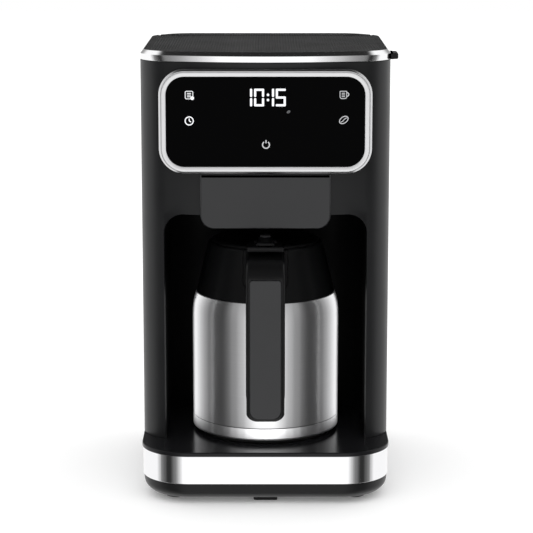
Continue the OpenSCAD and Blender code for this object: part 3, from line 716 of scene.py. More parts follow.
deck_line = profile([(6, deck_z), (6, deck_z - 6), (4.4, deck_z - 6), (4.4, deck_z), (0, deck_z),
                     (0, deck_top), (3, deck_top)], [0, .2, .2, .2, .3, .9, 0])
boss_line = [(0, deck_z + .5), (4, deck_z + .5), (4, 5.6), (1.5, 5.6), (1.5, 17), (0, 17)]
deck = surface("deck", [(carried(base_plan, deck_line), ("v0", "v1"))])
pipes = [(turned([(r, deck_z - 9), (r, deck_top + 4)], x, y, 48), ("v0", "v1"))
         for x, y, r in ((50, 70, 6), (0, 48, 5.5), (-30, 78, 7))]
finished(cut(deck, pipes), "machine", "deck_plastic", ["base_deck"])
bosses = [(turned(boss_line, x, y, 32), ()) for x, y in screw_spots]
finished(surface("deck_bosses", bosses), "machine", "deck_plastic")

foot_line = [(0, 0), (7.6, 0), (8.5, .35), (9, 1.2), (9, foot_h), (0, foot_h)]
feet = [(turned(foot_line, x, y, 48), ()) for x, y in foot_spots]
finished(surface("feet", feet), "machine", "rubber", ["rubber_feet"])
pad_low, pad_high = LOW["centre_pad"], HIGH["centre_pad"]
pad_plan = outline(rectangle(pad_low[0], pad_low[1], pad_high[0], pad_high[1]), 2)
pad = (carried(pad_plan, block(0, foot_h, .5)), ("v0", "v1"))
finished(surface("pad", [pad]), "machine", "rubber", ["centre_pad"])

# %% [markdown]
# ## The tower's front shell
# One moulding makes both columns beside the alcove and the head above it. Its skin is three sheets that
# share their edges: two columns whose inner edge follows the alcove's opening, with its rounded upper
# corners, and the head above. Solidify gives the sheet the wall's thickness, and a bevel rounds the edges
# of the opening as a mould would.

# %% Front shell
shell_low = LOW["housing_front"][2]
corner_in = 17
split_s = float(length_at(split_y))


def column_rows():
    """Heights of the column's rows, and the half width of the opening at each: straight, then a quarter
    circle that ends level with the alcove's ceiling."""
    turn_by = np.linspace(0, np.pi / 2, 13)[1:]
    straight = np.linspace(shell_low, alcove_top - corner_in, 16)
    heights = np.concatenate([straight, alcove_top - corner_in + corner_in * np.sin(turn_by)])
    halves = np.concatenate([np.full(16, alcove_half),
                             alcove_half - corner_in + corner_in * np.cos(turn_by)])
    return heights, halves


def sheet(lengths, heights, inset=0.0):
    """point(u, v): the plan at the arc lengths, at each height."""
    lengths, heights = np.broadcast_arrays(lengths, heights)
    return np.concatenate([tower(lengths, inset), heights[..., None]], 2)


heights, halves = column_rows()
spread = (plan_samples(float(length_across(halves[-1])), split_s) - float(length_across(halves[-1])))
spread /= spread[-1]
start = length_across(halves)
right = start[None] + spread[:, None] * (split_s - start[None])
inner_s = float(start[-1])
head_s = np.concatenate([-right[::-1, -1], np.linspace(-inner_s, inner_s, 60)[1:-1], right[:, -1]])
head_z = np.linspace(alcove_top, head_top, 12)
front = surface("front_shell", [(sheet(right, heights[None]), ()), (sheet(-right, heights[None]), ()),
                                (sheet(head_s[:, None], head_z[None]), ())], (0, 0, 200))


def walled(made, thickness):
    """Gives an open sheet its wall, inwards."""
    step = made.modifiers.new("wall", "SOLIDIFY")
    step.thickness, step.offset, step.use_even_offset = thickness * MM, -1, True
    bpy.context.view_layer.update()
    apply_modifiers(made)
    return made


bezel_low, bezel_high = LOW["bezel"], HIGH["bezel"]


def bezel_outline(inset, steps=14):
    """The bezel's rounded rectangle, moved inwards."""
    return outline(rectangle(bezel_low[0] + inset, bezel_low[2] + inset, bezel_high[0] - inset,
                             bezel_high[2] - inset), 21 - inset, steps)


window = (upright(carried(bezel_outline(8.5), [(0, -130), (0, 0)])), ("v0", "v1"))
finished(cut(walled(front, wall), [window]), "machine", "shell_plastic", ["housing_front"], bevel=.8)

# %% [markdown]
# ## The tower's rear shell
# The back is one sheet from seam to seam, with three rows of vent slots near its foot and a hole for the
# cord's gland. Each slot's cutter is wider where it leaves the skin, so that it also leaves a small
# chamfer round the slot.

# %% Rear shell
rear_start = float(length_at(LOW["housing_rear"][1]))
rear_s = plan_samples(rear_start, 2 * KNOT[-1] - rear_start)
rear = surface("rear_shell", [(sheet(rear_s[:, None], np.linspace(shell_low, head_top, 20)[None]), ())],
               (0, 0, 200))
vent_line = [(-.7, back_y + .4), (0, back_y - .3), (0, back_y - 9)]
vents = [(upright(carried(outline(rectangle(i * 9 - 2, 70 + k * 16, i * 9 + 2, 81 + k * 16), 1.9, 5),
                          vent_line)),
          ("v0", "v1")) for i in range(-4, 5) for k in range(3)]
gland_ring = outline(rectangle(-53, 54, -37, 70), 7.95, 12)
gland_hole = (upright(carried(gland_ring, [(0, back_y + 3), (0, back_y - 9)])), ("v0", "v1"))
finished(cut(walled(rear, wall), vents + [gland_hole]), "machine", "shell_plastic", ["housing_rear"])

# %% [markdown]
# ## The alcove
# A dark liner forms the alcove: a wall round three sides with large rear corners, and a ceiling with the
# round hole that the brew basket's holder drops through. Under the ceiling hangs the cover of the drip
# outlet.

# %% Liner and brew cover
liner_front = float(front_depth(np.array(alcove_half + 1), wall + .2))
outer = alcove_half + 2.3
liner_plan = outline([(-outer, liner_front), (-alcove_half, liner_front), (-alcove_half, alcove_back),
                      (alcove_half, alcove_back), (alcove_half, liner_front), (outer, liner_front),
                      (outer, alcove_back + 2.3), (-outer, alcove_back + 2.3)],
                     [.2, .2, 27.7, 27.7, .2, .2, 30, 30], 16)
liner_wall = (carried(liner_plan, [(0, shell_low), (0, alcove_top + 2.3)]), ("v0", "v1"))
front_line = tower(plan_samples(-float(length_across(np.array(alcove_half - .1))),
                                float(length_across(np.array(alcove_half - .1)))), wall + .2)
back_line = outline(rectangle(-alcove_half + .1, -50, alcove_half - .1, alcove_back - .1),
                    [1, 1, 27.7, 27.7])[0]
ceiling_ring = looped(np.vstack([front_line, back_line[22:]]))
ceiling = np.concatenate([np.repeat(ceiling_ring[:, None], 2, 1),
                          np.broadcast_to([[[alcove_top], [alcove_top + 2.3]]],
                                          (len(ceiling_ring), 2, 1))], 2)
liner = surface("alcove_wall", [liner_wall])
finished(liner, "machine", "alcove_plastic", ["alcove_liner"])
roof = surface("alcove_ceiling", [(ceiling, ("v0", "v1"))])
roof_hole = (turned([(49, alcove_top - 3), (49, alcove_top + 5)]), ("v0", "v1"))
finished(cut(roof, [roof_hole]), "machine", "alcove_plastic")

cover_low, cover_high = LOW["brew_cover"], HIGH["brew_cover"]
cover_plan = outline(rectangle(cover_low[0], cover_low[1], cover_high[0], cover_high[1]),
                     [2, 2, cover_high[0] - .1, cover_high[0] - .1], 24)
cover_line = profile([(8, cover_low[2]), (0, cover_low[2]), (0, cover_high[2]), (2, cover_high[2]),
                      (2, cover_low[2] + 2.4), (8, cover_low[2] + 2.4)], [0, 1.6, .3, .3, 1, 0])
cover = surface("outlet_cover", [(carried(cover_plan, cover_line), ("v0", "v1"))])
outlet = (turned([(12, cover_low[2] - 3), (12, cover_high[2] + 3)], sides=64), ("v0", "v1"))
finished(cut(cover, [outlet]), "machine", "alcove_plastic", ["brew_cover"])

# %% [markdown]
# ## The panel over the brew head
# A satin panel with round lower corners closes the gap between the bezel and the alcove. Its face is flat
# while the tower behind it bows, so a second block fills the wedge between the two. That block's back
# points are moved onto the bow, one by one, by the function that gives the front's depth.

# %% Brew panel
panel_low, panel_high = LOW["brew_panel"], HIGH["brew_panel"]
face_y = panel_low[1]


def panel_outline(inset, low_z):
    """The panel's face: round lower corners, almost square upper ones."""
    return outline(rectangle(panel_low[0] + inset, low_z, panel_high[0] - inset, panel_high[2] - inset),
                   [11, 11, 1, 1] if low_z < alcove_top else .3, 12)


face_line = profile([(3, face_y), (0, face_y), (0, face_y + 3.5), (3, face_y + 3.5)], [0, 1.1, .2, 0])
face = upright(carried(panel_outline(0, panel_low[2]), face_line))
wedge = upright(carried(panel_outline(.02, alcove_top + .2), [(0, face_y + 3), (0, face_y + 9)]))
wedge[:, 1, 1] = front_depth(wedge[:, 1, 0]) + .1
finished(surface("brew_front", [(face, ("v0", "v1")), (wedge, ("v0", "v1"))]), "machine", "panel_plastic",
         ["brew_panel"])

# %% [markdown]
# ## The touch panel
# The control head is a hollow pod with a bright bezel in front of it and a black glass in the bezel. A
# closed profile carried round the bezel's outline gives each of them: the bezel has a wide outer chamfer, a
# fine groove and a gently crowned face, and the pod's back edge follows the tower's bow.

# %% Pod, bezel and glass
rim_y, pod_y = bezel_low[1], bezel_high[1]
pod_points = looped(np.array([(9, pod_y), (2.5, pod_y), (2.5, pod_y + 20), (9, pod_y + 20)], float))
pod = upright(carried(bezel_outline(0), pod_points))
pod[:, 2:4, 1] = front_depth(pod[:, 2:4, 0]) + .1
finished(surface("pod", [(pod, ())]), "machine", "shell_plastic", ["control_pod"])

bezel_line = [(0, pod_y), (0, rim_y + 1.75), (.2, rim_y + 1.4), (1.6, rim_y + .1), (1.9, rim_y + .22),
              (2.05, rim_y + .22), (2.35, rim_y), (3.7, rim_y + .02), (3.95, rim_y + .1), (5.5, rim_y + .14),
              (5.85, rim_y + .3), (6, rim_y + .6), (6, pod_y)]
bezel = surface("bezel_trim", [(upright(carried(bezel_outline(0, 18), looped(np.array(bezel_line)))), ())])
finished(bezel, "machine", "bright_trim", ["bezel"])

glass_y, glass_back = LOW["touch_glass"][1], HIGH["touch_glass"][1]
glass_line = profile([(3, glass_y), (0, glass_y), (0, glass_back), (3, glass_back)], [0, .3, .3, 0])
glass = surface("glass", [(upright(carried(bezel_outline(6.2), glass_line)), ("v0", "v1"))])
finished(glass, "machine", "panel_glass", ["touch_glass"])

# %% [markdown]
# ## The lit clock and signs
# Lamps behind the glass light a clock and a few signs. They are made as very thin plates just proud of the
# glass. A seven-segment digit is a set of rounded bars, and every other sign is built from the same two
# helpers: a bar between two points, and a band of constant width along a curve.

# %% Bars and bands on the glass
SIGN_OUT, SIGN_IN = glass_y - .06, glass_y + .05
centre_x, clock_z = 0.0, (bezel_low[2] + bezel_high[2]) / 2 + 20


def plate(points, radii, steps=4):
    """A thin plate of a filleted outline, lying on the glass."""
    return upright(carried(outline(points, radii, steps), [(0, SIGN_OUT), (0, SIGN_IN)])), ("v0", "v1")


def bar(start, end, width, end_radius=.5):
    """A straight bar of some width between two points, with slightly rounded ends."""
    start, end = np.array(start, float), np.array(end, float)
    along = (end - start) / np.linalg.norm(end - start)
    across = np.array([-along[1], along[0]]) * width / 2
    return plate([start - across, end - across, end + across, start + across], width * end_radius * .98)


def band(path, width, closed=False):
    """A band along a curve: the path offset to both sides by half the width, along its normals."""
    path = np.asarray(path, float)
    slope = np.gradient(path, axis=0) if not closed else np.roll(path, -1, 0) - np.roll(path, 1, 0)
    slope /= np.linalg.norm(slope, axis=1, keepdims=True)
    across = np.stack([-slope[:, 1], slope[:, 0]], 1) * width / 2
    section = np.stack([path - across, path + across, path + across, path - across], 1)
    depth = np.broadcast_to(np.array([SIGN_OUT, SIGN_OUT, SIGN_IN, SIGN_IN])[None, :, None],
                            (len(path), 4, 1))
    points = looped(np.concatenate([section, depth], 2), 1)
    points = np.swapaxes(upright(points), 0, 1)
    return (looped(points, 1), ()) if closed else (points, ("v0", "v1"))


def circle(x, z, radius, start=0.0, end=360.0, count=40, squeeze=1.0, lean_by=0.0):
    """Points of an arc: radius times cosine and sine, squeezed in height, then turned by an angle."""
    angle = np.radians(np.linspace(start, end, count, endpoint=abs(end - start) < 360))
    flat = np.stack([radius * np.cos(angle), radius * squeeze * np.sin(angle)], 1)
    c, s = math.cos(math.radians(lean_by)), math.sin(math.radians(lean_by))
    return flat @ np.array([[c, s], [-s, c]]) + [x, z]


# %% Clock digits
SEGMENTS = {"0": "abcdef", "1": "bc", "5": "afgcd"}
stroke, digit_w, digit_h = 1.8, 8.2, 14.4


def digit(symbol, x, z):
    """Seven-segment digit with its lower left corner at x, z; bars a to g as on any digital clock."""
    left, right = x + stroke / 2, x + digit_w - stroke / 2
    top, middle = z + digit_h - stroke / 2, z + digit_h / 2
    low, half, lap = z + stroke / 2, stroke / 2, .45
    ends = {"a": ((left - half, top), (right + half, top)), "d": ((left - half, low), (right + half, low)),
            "g": ((left - half, middle), (right + half, middle)),
            "b": ((right, middle + lap), (right, top + half)),
            "c": ((right, low - half), (right, middle - lap)),
            "e": ((left, low - half), (left, middle - lap)), "f": ((left, middle + lap), (left, top + half))}
    return [bar(*ends[name], stroke, .42) for name in SEGMENTS[symbol]]


digit_z = clock_z - digit_h / 2 - .1
clock = digit("1", -10.7 - digit_w, digit_z) + digit("0", -9.2, digit_z)
clock += digit("1", 7.1 - digit_w, digit_z) + digit("5", 8.4, digit_z)
clock += [bar((2.1, clock_z + d - 1.1), (2.1, clock_z + d + 1.1), 2) for d in (2.1, -2.1)]
finished(surface("clock_time", clock), "machine", "display")

# %% Signs beside the clock
left_x, right_x = -62.0, 63.8
program = [band(outline(rectangle(left_x - 3.1, clock_z - 1.2, left_x + 3.1, clock_z + 5.0), 1, 6)[0],
                .55, True)]
program += [bar((left_x - 1.7, clock_z + d), (left_x + 1.7, clock_z + d), .6) for d in (3.3, 1.9, .5)]
program += [plate(circle(left_x + 2.6, clock_z - .6, 1.5), .2)]
timer_z = clock_z - 19.2
timer = [band(circle(left_x, timer_z, 3.3), .85, True), bar((left_x, timer_z), (left_x, timer_z + 2.1), .8),
         bar((left_x, timer_z), (left_x + 1.6, timer_z - .9), .8)]
finished(surface("program_sign", program), "machine", "display")
finished(surface("timer_sign", timer), "machine", "display")

cup_z = clock_z + 2
cup = outline(rectangle(right_x - 3.2, cup_z - 3, right_x + 2.2, cup_z + 3), [1.6, 1.6, .2, .2], 6)[0]
cup_sign = [band(cup, .55, True), band(circle(right_x + 2.4, cup_z + .4, 1.5, -90, 90, 20), .7)]
cup_sign += [bar((right_x - 1.9, cup_z + d), (right_x + .9, cup_z + d), .6) for d in (-1.4, 0, 1.4)]
bean_z = timer_z + .8


def bean(x, z, size):
    """A coffee bean: a tilted ellipse with the curved line of its crease."""
    crease = circle(x, z, size * .8, 35, 215, 2)
    bow = np.linspace(-1, 1, 14)[:, None]
    sway = np.sin(bow * math.pi) * np.array([-.16, .24]) * size / 4
    wave = (crease[0] - crease[1]) / 2 * bow + [x, z] + sway
    return [band(circle(x, z, size, squeeze=.64, lean_by=35), size * .17, True), band(wave, size * .15)]


power_z = clock_z - 38.8
power = [band(circle(centre_x + .5, power_z, 2.8, 125, 415, 40), .95),
         bar((centre_x + .5, power_z + 1.2), (centre_x + .5, power_z + 4), .95)]
soft_signs = (("cup_sign", cup_sign), ("bean_sign", bean(right_x, bean_z, 3.9)), ("power_sign", power))
for name, shells in soft_signs:
    finished(surface(name, shells), "machine", "display", material="display_soft")
finished(surface("strength_sign", bean(18.8, clock_z - 11.8, 1.3)), "machine", "display",
         material="display_dim")

# %% [markdown]
# ## The ring round the lid
# A bright ring with a chamfered top edge runs round the lid and on round the fixed cap behind it. It is
# one section carried along the tower's plan, stopped where the hinge barrel begins: each height of the
# section ends at its own length, so that the end is rounded about the hinge's axis.

# %% Lid ring and rear ring
ring_low = LOW["lid_ring"][2]
ring_section = profile([(3, ring_low), (0, ring_low), (0, lid_top - 3.3), (2.7, lid_top), (3, lid_top),
                        (3, ring_low)], [0, .3, .45, .3, .1, 0], 5)


def barrel_limit(z):
    """Depth where the lid ends at a height: the hinge line, or the barrel's round back."""
    return hinge_y + np.sqrt(np.maximum(barrel_r ** 2 - (z - hinge_z) ** 2, 0))


def ring_sheet(share, start, end):
    """point(u, v): the section's point v on the plan, between its own two lengths."""
    lengths = start[None] + share[:, None] * (end - start)[None]
    spots = tower(lengths, ring_section[None, :, 0])
    return np.concatenate([spots, np.broadcast_to(ring_section[:, 1], lengths.shape)[..., None]], 2)


def shares(start, end):
    """Where the plan's samples fall between two lengths, from 0 to 1."""
    return (plan_samples(start, end, 1.5) - start) / (end - start)


ring_end = length_at(barrel_limit(ring_section[:, 1]), ring_section[:, 0])
front_share = shares(-float(ring_end[0]), float(ring_end[0]))
ring = np.swapaxes(ring_sheet(front_share, -ring_end, ring_end), 0, 1)
ring_points = ring[:-1] if np.allclose(ring_section[0], ring_section[-1]) else ring
closed_ring = looped(ring_points)
finished(surface("lid_trim", [(closed_ring, ("v0", "v1"))]), "brew_lid", "bright_trim", ["lid_ring"],
         material="ring_steel")

cap_y = LOW["rear_ring"][1]
cap_start = length_at(np.full(len(ring_section), cap_y), ring_section[:, 0])
rear_share = shares(float(cap_start[0]), 2 * KNOT[-1] - float(cap_start[0]))
rear_points = np.swapaxes(ring_sheet(rear_share, cap_start, 2 * KNOT[-1] - cap_start), 0, 1)
finished(surface("rear_trim", [(looped(rear_points[:-1]), ("v0", "v1"))]), "machine", "bright_trim",
         ["rear_ring"], material="ring_steel")

# %% [markdown]
# ## The ribbed lid
# The lid's top has fine ribs from front to back inside a smooth border. Modelled as real relief they catch
# the light from every side. For each distance x from the middle the section is one closed loop in depth
# and height: along the underside, up the front edge, over the top, and down the rear. The ribs are a
# rounded wave in x that fades out towards the border.

# %% Ribbed top
rib_pitch, rib_depth, border = 2.3, .42, 3.6
inlay_in = 3.2


def smooth(value):
    """0 below 0, 1 above 1, and a soft step between."""
    t = np.clip(value, 0, 1)
    return t * t * (3 - 2 * t)


def back_limit(x, inset):
    """Depth of the plan's back at a distance x from the middle."""
    corner = np.sqrt(np.maximum((back_r - inset) ** 2 - (np.abs(x) - half_w + back_r) ** 2, 0))
    return np.where(np.abs(x) < half_w - back_r, back_y - inset, back_y - back_r + corner)


def ribbed(x, front, back_low, back_top, low, top):
    """One closed section for each x. front and the two backs give its depth range, low and top its
    heights. The relief is the rib depth times a rounded wave of x, times a fade at every edge."""
    share = np.concatenate([[0, .004, .012, .03, .036], np.linspace(.05, .95, 12),
                            [.964, .97, .988, .996, 1]])
    depth = front[:, None] + share[None] * (back_top - front)[:, None]
    from_edge = np.minimum(depth - front[:, None], (back_top[:, None] - depth))
    from_edge = np.minimum(from_edge, (half_w - inlay_in - np.abs(x))[:, None])
    wave = (.5 - .5 * np.cos(2 * np.pi * x / rib_pitch)) ** .7
    height = top - rib_depth * wave[:, None] * smooth((from_edge - border) / 1.2)
    height -= .35 * (1 - smooth(from_edge / .5))
    lower = np.stack([back_low, front], 1)
    loop_y = np.concatenate([depth, lower], 1)
    loop_z = np.concatenate([height, np.full(lower.shape, low)], 1)
    spots = np.stack([np.broadcast_to(x[:, None], loop_y.shape), loop_y, loop_z], 2)
    return np.swapaxes(looped(spots, 1), 0, 1)


def columns(half, extra=()):
    """x from -half to half in eighths of a rib, with doubled columns at the given edges."""
    count = int(half / rib_pitch * 8)
    plain = np.concatenate([np.linspace(-half, half, 2 * count + 1), *[[e - 1e-3, e + 1e-3] for e in extra]])
    return np.sort(plain)


inlay_low, inlay_top = LOW["lid_inlay"][2], HIGH["lid_inlay"][2]
notch_edges = [side * (74 + step * 4.5) for side in (-1, 1) for step in (-1, 1)]
x = columns(half_w - inlay_in - .02, notch_edges)
in_notch = np.abs(np.abs(x) - 74) < 4.5
notch_y = hinge_y - barrel_r - .5


def lid_back(z):
    """Depth of the lid's rear edge at a height, for every column."""
    return np.where(in_notch, notch_y, np.minimum(back_limit(x, inlay_in), barrel_limit(z)))


inlay = ribbed(x, front_depth(x, inlay_in), lid_back(inlay_low), lid_back(inlay_top), inlay_low, inlay_top)
finished(surface("lid_top", [(inlay, ("v0", "v1"))]), "brew_lid", "lid_plastic", ["lid_inlay"])

reach = half_w - back_r + math.sqrt((back_r - inlay_in) ** 2 - (cap_y - back_y + back_r) ** 2)
cap_x = columns(reach - .02)
cap_back = back_limit(cap_x, inlay_in)
cap_low = LOW["rear_cap"][2]
cap = ribbed(cap_x, np.full(len(cap_x), cap_y), cap_back, cap_back, cap_low, inlay_top)
ear_plan = outline([(hinge_y, hinge_z - 3.7), (cap_y + 1, hinge_z - 3.7), (cap_y + 1, hinge_z + 3.4),
                    (hinge_y, hinge_z + 3.7)], .3)
knuckle = circle(hinge_y, hinge_z, 3.7, count=48)


def ear(middle):
    """A hinge ear: a round knuckle and the web behind it, each an outline in depth and height drawn out
    across the lid."""
    shells = []
    for ring in (knuckle, ear_plan[0]):
        spots = np.stack([np.broadcast_to([[middle - 4, middle + 4]], (len(ring), 2)),
                          np.repeat(ring[:, :1], 2, 1), np.repeat(ring[:, 1:], 2, 1)], 2)
        shells.append((looped(spots), ("v0", "v1")))
    return shells


finished(surface("rear_top", [(cap, ("v0", "v1"))] + ear(-74) + ear(74)), "machine", "shell_plastic",
         ["rear_cap"])

# %% Finger tab
tab_low, tab_high = LOW["lid_tab"], HIGH["lid_tab"]
tab_plan = outline([(half_w + .05, tab_low[1]), (tab_high[0], tab_low[1] + 2.2),
                    (tab_high[0], tab_high[1] - 4),
                    (half_w + .05, tab_high[1])], [.2, 2.2, 2.2, .2], 8)
tab = (carried(tab_plan, block(tab_low[2], tab_high[2], 1)), ("v0", "v1"))
finished(surface("lid_finger_tab", [tab]), "brew_lid", "shell_plastic", ["lid_tab"])

# %% [markdown]
# ## The carafe's steel
# The double-walled carafe is spun from steel sheet, so its shell and its base cup are turned shapes. The
# shell goes straight up and then rolls in over the shoulder: its radius loses a share that grows with a
# power of the height above the shoulder's start. Their surface map runs round the body, and the brushed
# finish takes its streaks and its stretched highlight from that map.

# %% Shell, base cup and foot ring
shell_z0, shell_z1 = LOW["carafe_shell"][2], HIGH["carafe_shell"][2]
carafe_r = HIGH["carafe_shell"][0]
shoulder_z = 138


def shoulder(z):
    """Radius of the steel at a height: full below the shoulder, then less by a rising power."""
    rise_share = np.clip((z - shoulder_z) / (shell_z1 - shoulder_z), 0, 1)
    return carafe_r - 3.4 * rise_share ** 3.4


rows = np.concatenate([np.linspace(shell_z0 + .5, shoulder_z, 12),
                       np.linspace(shoulder_z + 2, shell_z1 - .3, 20)])
skin = np.stack([shoulder(rows), rows], 1)
shell_line = np.vstack([[(carafe_r - .25, shell_z0), (carafe_r, shell_z0 + .25)], skin,
                        [(58.5, shell_z1), (45.6, shell_z1), (45.6, shell_z1 - .9), (58, shell_z1 - .9)],
                        (skin - [.9, 0])[::-1][4:], [(carafe_r - .9, shell_z0)]])
body_shell = turned(looped(shell_line), sides=192)
finished(surface("steel_body", [(body_shell, ())]), "carafe", "carafe_steel", ["carafe_shell"])

cup_z0, cup_z1 = LOW["carafe_base"][2], HIGH["carafe_base"][2]
cup_line = profile([(0, cup_z0), (carafe_r - .5, cup_z0), (carafe_r, cup_z0 + 1.4), (carafe_r, cup_z1),
                    (carafe_r - 1.1, cup_z1), (carafe_r - 1.1, cup_z0 + 2.4), (carafe_r - 2, cup_z0 + 1.2),
                    (0, cup_z0 + 1.2)], [0, .5, .5, .35, .3, .8, .5, 0])
finished(surface("steel_base", [(turned(cup_line, sides=192), ())]), "carafe", "carafe_steel",
         ["carafe_base"])

ring_z0, ring_z1 = LOW["carafe_foot"][2], HIGH["carafe_foot"][2]
ring_line = outline([(48, ring_z0), (57.6, ring_z0), (58, ring_z0 + 1), (58, ring_z1), (48, ring_z1)],
                    .3, 3)[0]
finished(surface("foot_ring", [(turned(looped(ring_line)), ())]), "carafe", "rubber", ["carafe_foot"])

# %% [markdown]
# ## The collar
# A black cone joins the steel to the lid. It has a pouring beak at the back and, round the handle, a raised
# shield with a rounded lower edge. Both are displacements of one turned cone: the beak is a bell curve in
# the angle from the back, and the shield rises where a rounded rectangle's signed distance is negative.

# %% Collar with beak and shield
collar_z0 = LOW["carafe_collar"][2]
collar_z1 = HIGH["carafe_collar"][2]
beak_out = HIGH["carafe_collar"][1] - axis_y - 48.5
collar_r0, collar_r1 = 58.7, 48.9


def cone(z):
    """Radius of the plain collar at a height: a straight line between its two rims."""
    up_share = np.clip((z - collar_z0) / (collar_z1 - 1.6 - collar_z0), 0, 1)
    return collar_r0 + (collar_r1 - collar_r0) * up_share


def shield_distance(x, z):
    """Signed distance to the shield's outline: a rounded rectangle open towards the top."""
    half, low, corner = 18.6, 175.5, 8.0
    across, down = np.abs(x) - (half - corner), (low + corner) - z
    outside = np.hypot(np.maximum(across, 0), np.maximum(down, 0))
    return outside + np.minimum(np.maximum(across, down), 0) - corner


fine = np.arange(11.5, 25, .3)
turn_deg = np.concatenate([-np.arange(27, 180, 2.5)[::-1], -fine[::-1], np.linspace(-11, 11, 23), fine,
                           np.arange(27, 180, 2.5)])
turn_at = np.radians(np.concatenate([[-180], turn_deg, [180]]))[:, None]
fine_z = np.concatenate([np.arange(collar_z0, 173, 1.5), np.arange(173, 186, .4),
                         np.arange(186, 205.5, 1.5)])
outer_z = np.concatenate([fine_z, [206.2, collar_z1 - 1.6, collar_z1 - 1.0, collar_z1 - .4,
                                   collar_z1 - .05]])
rim_in = np.concatenate([np.zeros(len(fine_z) + 2), [.3, .75, 1.3]])
radius = cone(outer_z) - rim_in
x_at = np.sin(turn_at) * radius[None]
distance = shield_distance(x_at, outer_z[None])
in_front = np.abs(turn_at) < np.radians(60)
lift = np.where(in_front, 1.2 * smooth(-distance / .7) - .35 * smooth(1 - np.abs(distance - .45) / .45), 0)
from_back = np.pi - np.abs(turn_at)
beak = beak_out * np.exp(-(from_back / .21) ** 2) * smooth((outer_z[None] - 186) / 21)
lip = np.exp(-(from_back / .17) ** 2)
top_in = [(47.2, collar_z1), (46.5, collar_z1 - .3), (46.3, collar_z1 - 1), (46.3, 203), (46.3, 200),
          (55.9, collar_z0)]
inner_r, inner_z = np.array(top_in).T
channel = (beak_out - 1.9) * lip * smooth((inner_z[None] - 201) / 6) * (inner_z[None] > 201)
all_r = np.concatenate([radius[None] + lift + beak, inner_r[None] + channel], 1)
all_z = np.broadcast_to(np.concatenate([outer_z, inner_z]), all_r.shape)
collar = np.stack([np.sin(turn_at) * all_r, axis_y - np.cos(turn_at) * all_r, all_z], 2)
collar[-1] = collar[0]
finished(surface("collar", [(looped(collar, 1), ())]), "carafe", "carafe_plastic", ["carafe_collar"])

# %% [markdown]
# ## The handle
# Seen from the side the handle is a C: a grip with an arm at each end. That outline is carried across the
# handle's width with well rounded edges. Then two moves shape it further. The width narrows towards the
# bottom along a quarter circle, and the ends of both arms are pulled onto the carafe's surface, whose
# depth at any x and height is known.

# %% Handle and its inlay
grip_low, grip_high = LOW["carafe_handle"], HIGH["carafe_handle"]
grip_y, grip_t, grip_half = grip_low[1], 12.5, grip_high[0]
grip_in = grip_y + grip_t
arm_end = axis_y - 40
arm_z = (79, 93, 191)


def carafe_surface(x, z):
    """Depth of the carafe's front at x and z: the axis less the half chord of its circle there."""
    radius = np.where(z > collar_z0, cone(z), shoulder(z))
    return axis_y - np.sqrt(np.maximum(radius ** 2 - x ** 2, 0))


side_view = outline([(grip_y, grip_low[2]), (grip_in - 1, grip_low[2]), (grip_in + 8, arm_z[0]),
                     (arm_end, arm_z[0]), (arm_end, arm_z[1]), (grip_in, arm_z[1]), (grip_in, arm_z[2]),
                     (arm_end, arm_z[2]), (arm_end, grip_high[2]), (grip_y, grip_high[2])],
                    [7, 6, 5, .2, .2, 12, 12, .2, .2, 15.5], 12)
soft = 2.6
across = profile([(soft, -grip_half), (0, -grip_half), (0, grip_half), (soft, grip_half)],
                 [0, soft, soft, 0], 6)
handle = carried(side_view, np.vstack([across[:8], [(0, t) for t in (-8, 0, 8)],
                                       across[8:]]))[..., [2, 0, 1]]
low_turn = np.clip((84 - handle[..., 2]) / 10, 0, 1)
handle[..., 0] *= (grip_half - 10 + 10 * np.sqrt(1 - low_turn ** 2)) / grip_half
reaching = handle[..., 1] > arm_end - 3
surface_y = carafe_surface(handle[..., 0], handle[..., 2]) - .25
handle[..., 1] = np.where(reaching, surface_y, np.minimum(handle[..., 1], surface_y))
grip = surface("handle", [(handle, ("v0", "v1"))])
inlay_low3, inlay_high3 = LOW["handle_inlay"], HIGH["handle_inlay"]


def inlay_outline(grow):
    """The inlay's outline on the grip's front."""
    corners = rectangle(inlay_low3[0] - grow, inlay_low3[2] - grow, inlay_high3[0] + grow,
                        inlay_high3[2] + grow)
    return outline(corners, [7.2 + grow, 7.2 + grow, 2.7 + grow, 2.7 + grow], 10)


recess = (upright(carried(inlay_outline(.35), [(0, grip_y - 3), (0, grip_y + 2.2)])), ("v0", "v1"))
finished(cut(grip, [recess]), "carafe", "carafe_plastic", ["carafe_handle"])
inlay_line = profile([(2, inlay_low3[1]), (0, inlay_low3[1]), (0, inlay_high3[1]), (2, inlay_high3[1])],
                     [0, .8, .2, 0])
grip_face = upright(carried(inlay_outline(0), inlay_line))
finished(surface("handle_face", [(grip_face, ("v0", "v1"))]), "carafe", "panel_plastic", ["handle_inlay"])

# %% [markdown]
# ## Stopper and thumb lever
# The stopper is turned, with a shallow funnel on top and a hole for the pour valve's stem. The thumb lever
# is a rounded block with a raised knob in front and a flat tail that reaches back under the valve's head.

# %% Stopper and lever
lid_edge = 211
stopper_line = profile([(0, 190), (42.3, 190), (42.3, 204), (45.9, 204), (45.9, lid_edge - 1),
                        (43.6, lid_edge),
                        (20, lid_edge), (10, lid_edge - 3.5), (0, lid_edge - 3.5)],
                       [0, 1.5, .4, .4, 1.2, 1.5, 3, 3, 0])
stopper = surface("stopper_lid", [(turned(stopper_line), ())])
valve_y = (LOW["pour_valve"][1] + HIGH["pour_valve"][1]) / 2
lever_y, lever_z = (LOW["lever_pin"][1:] + HIGH["lever_pin"][1:]) / 2
stem_hole = (turned([(6.6, 180), (6.6, 193.6), (2.7, 193.6), (2.7, 220)], 0, valve_y, 48), ("v0", "v1"))
finished(cut(stopper, [stem_hole]), "stopper", "carafe_plastic", ["carafe_lid"])


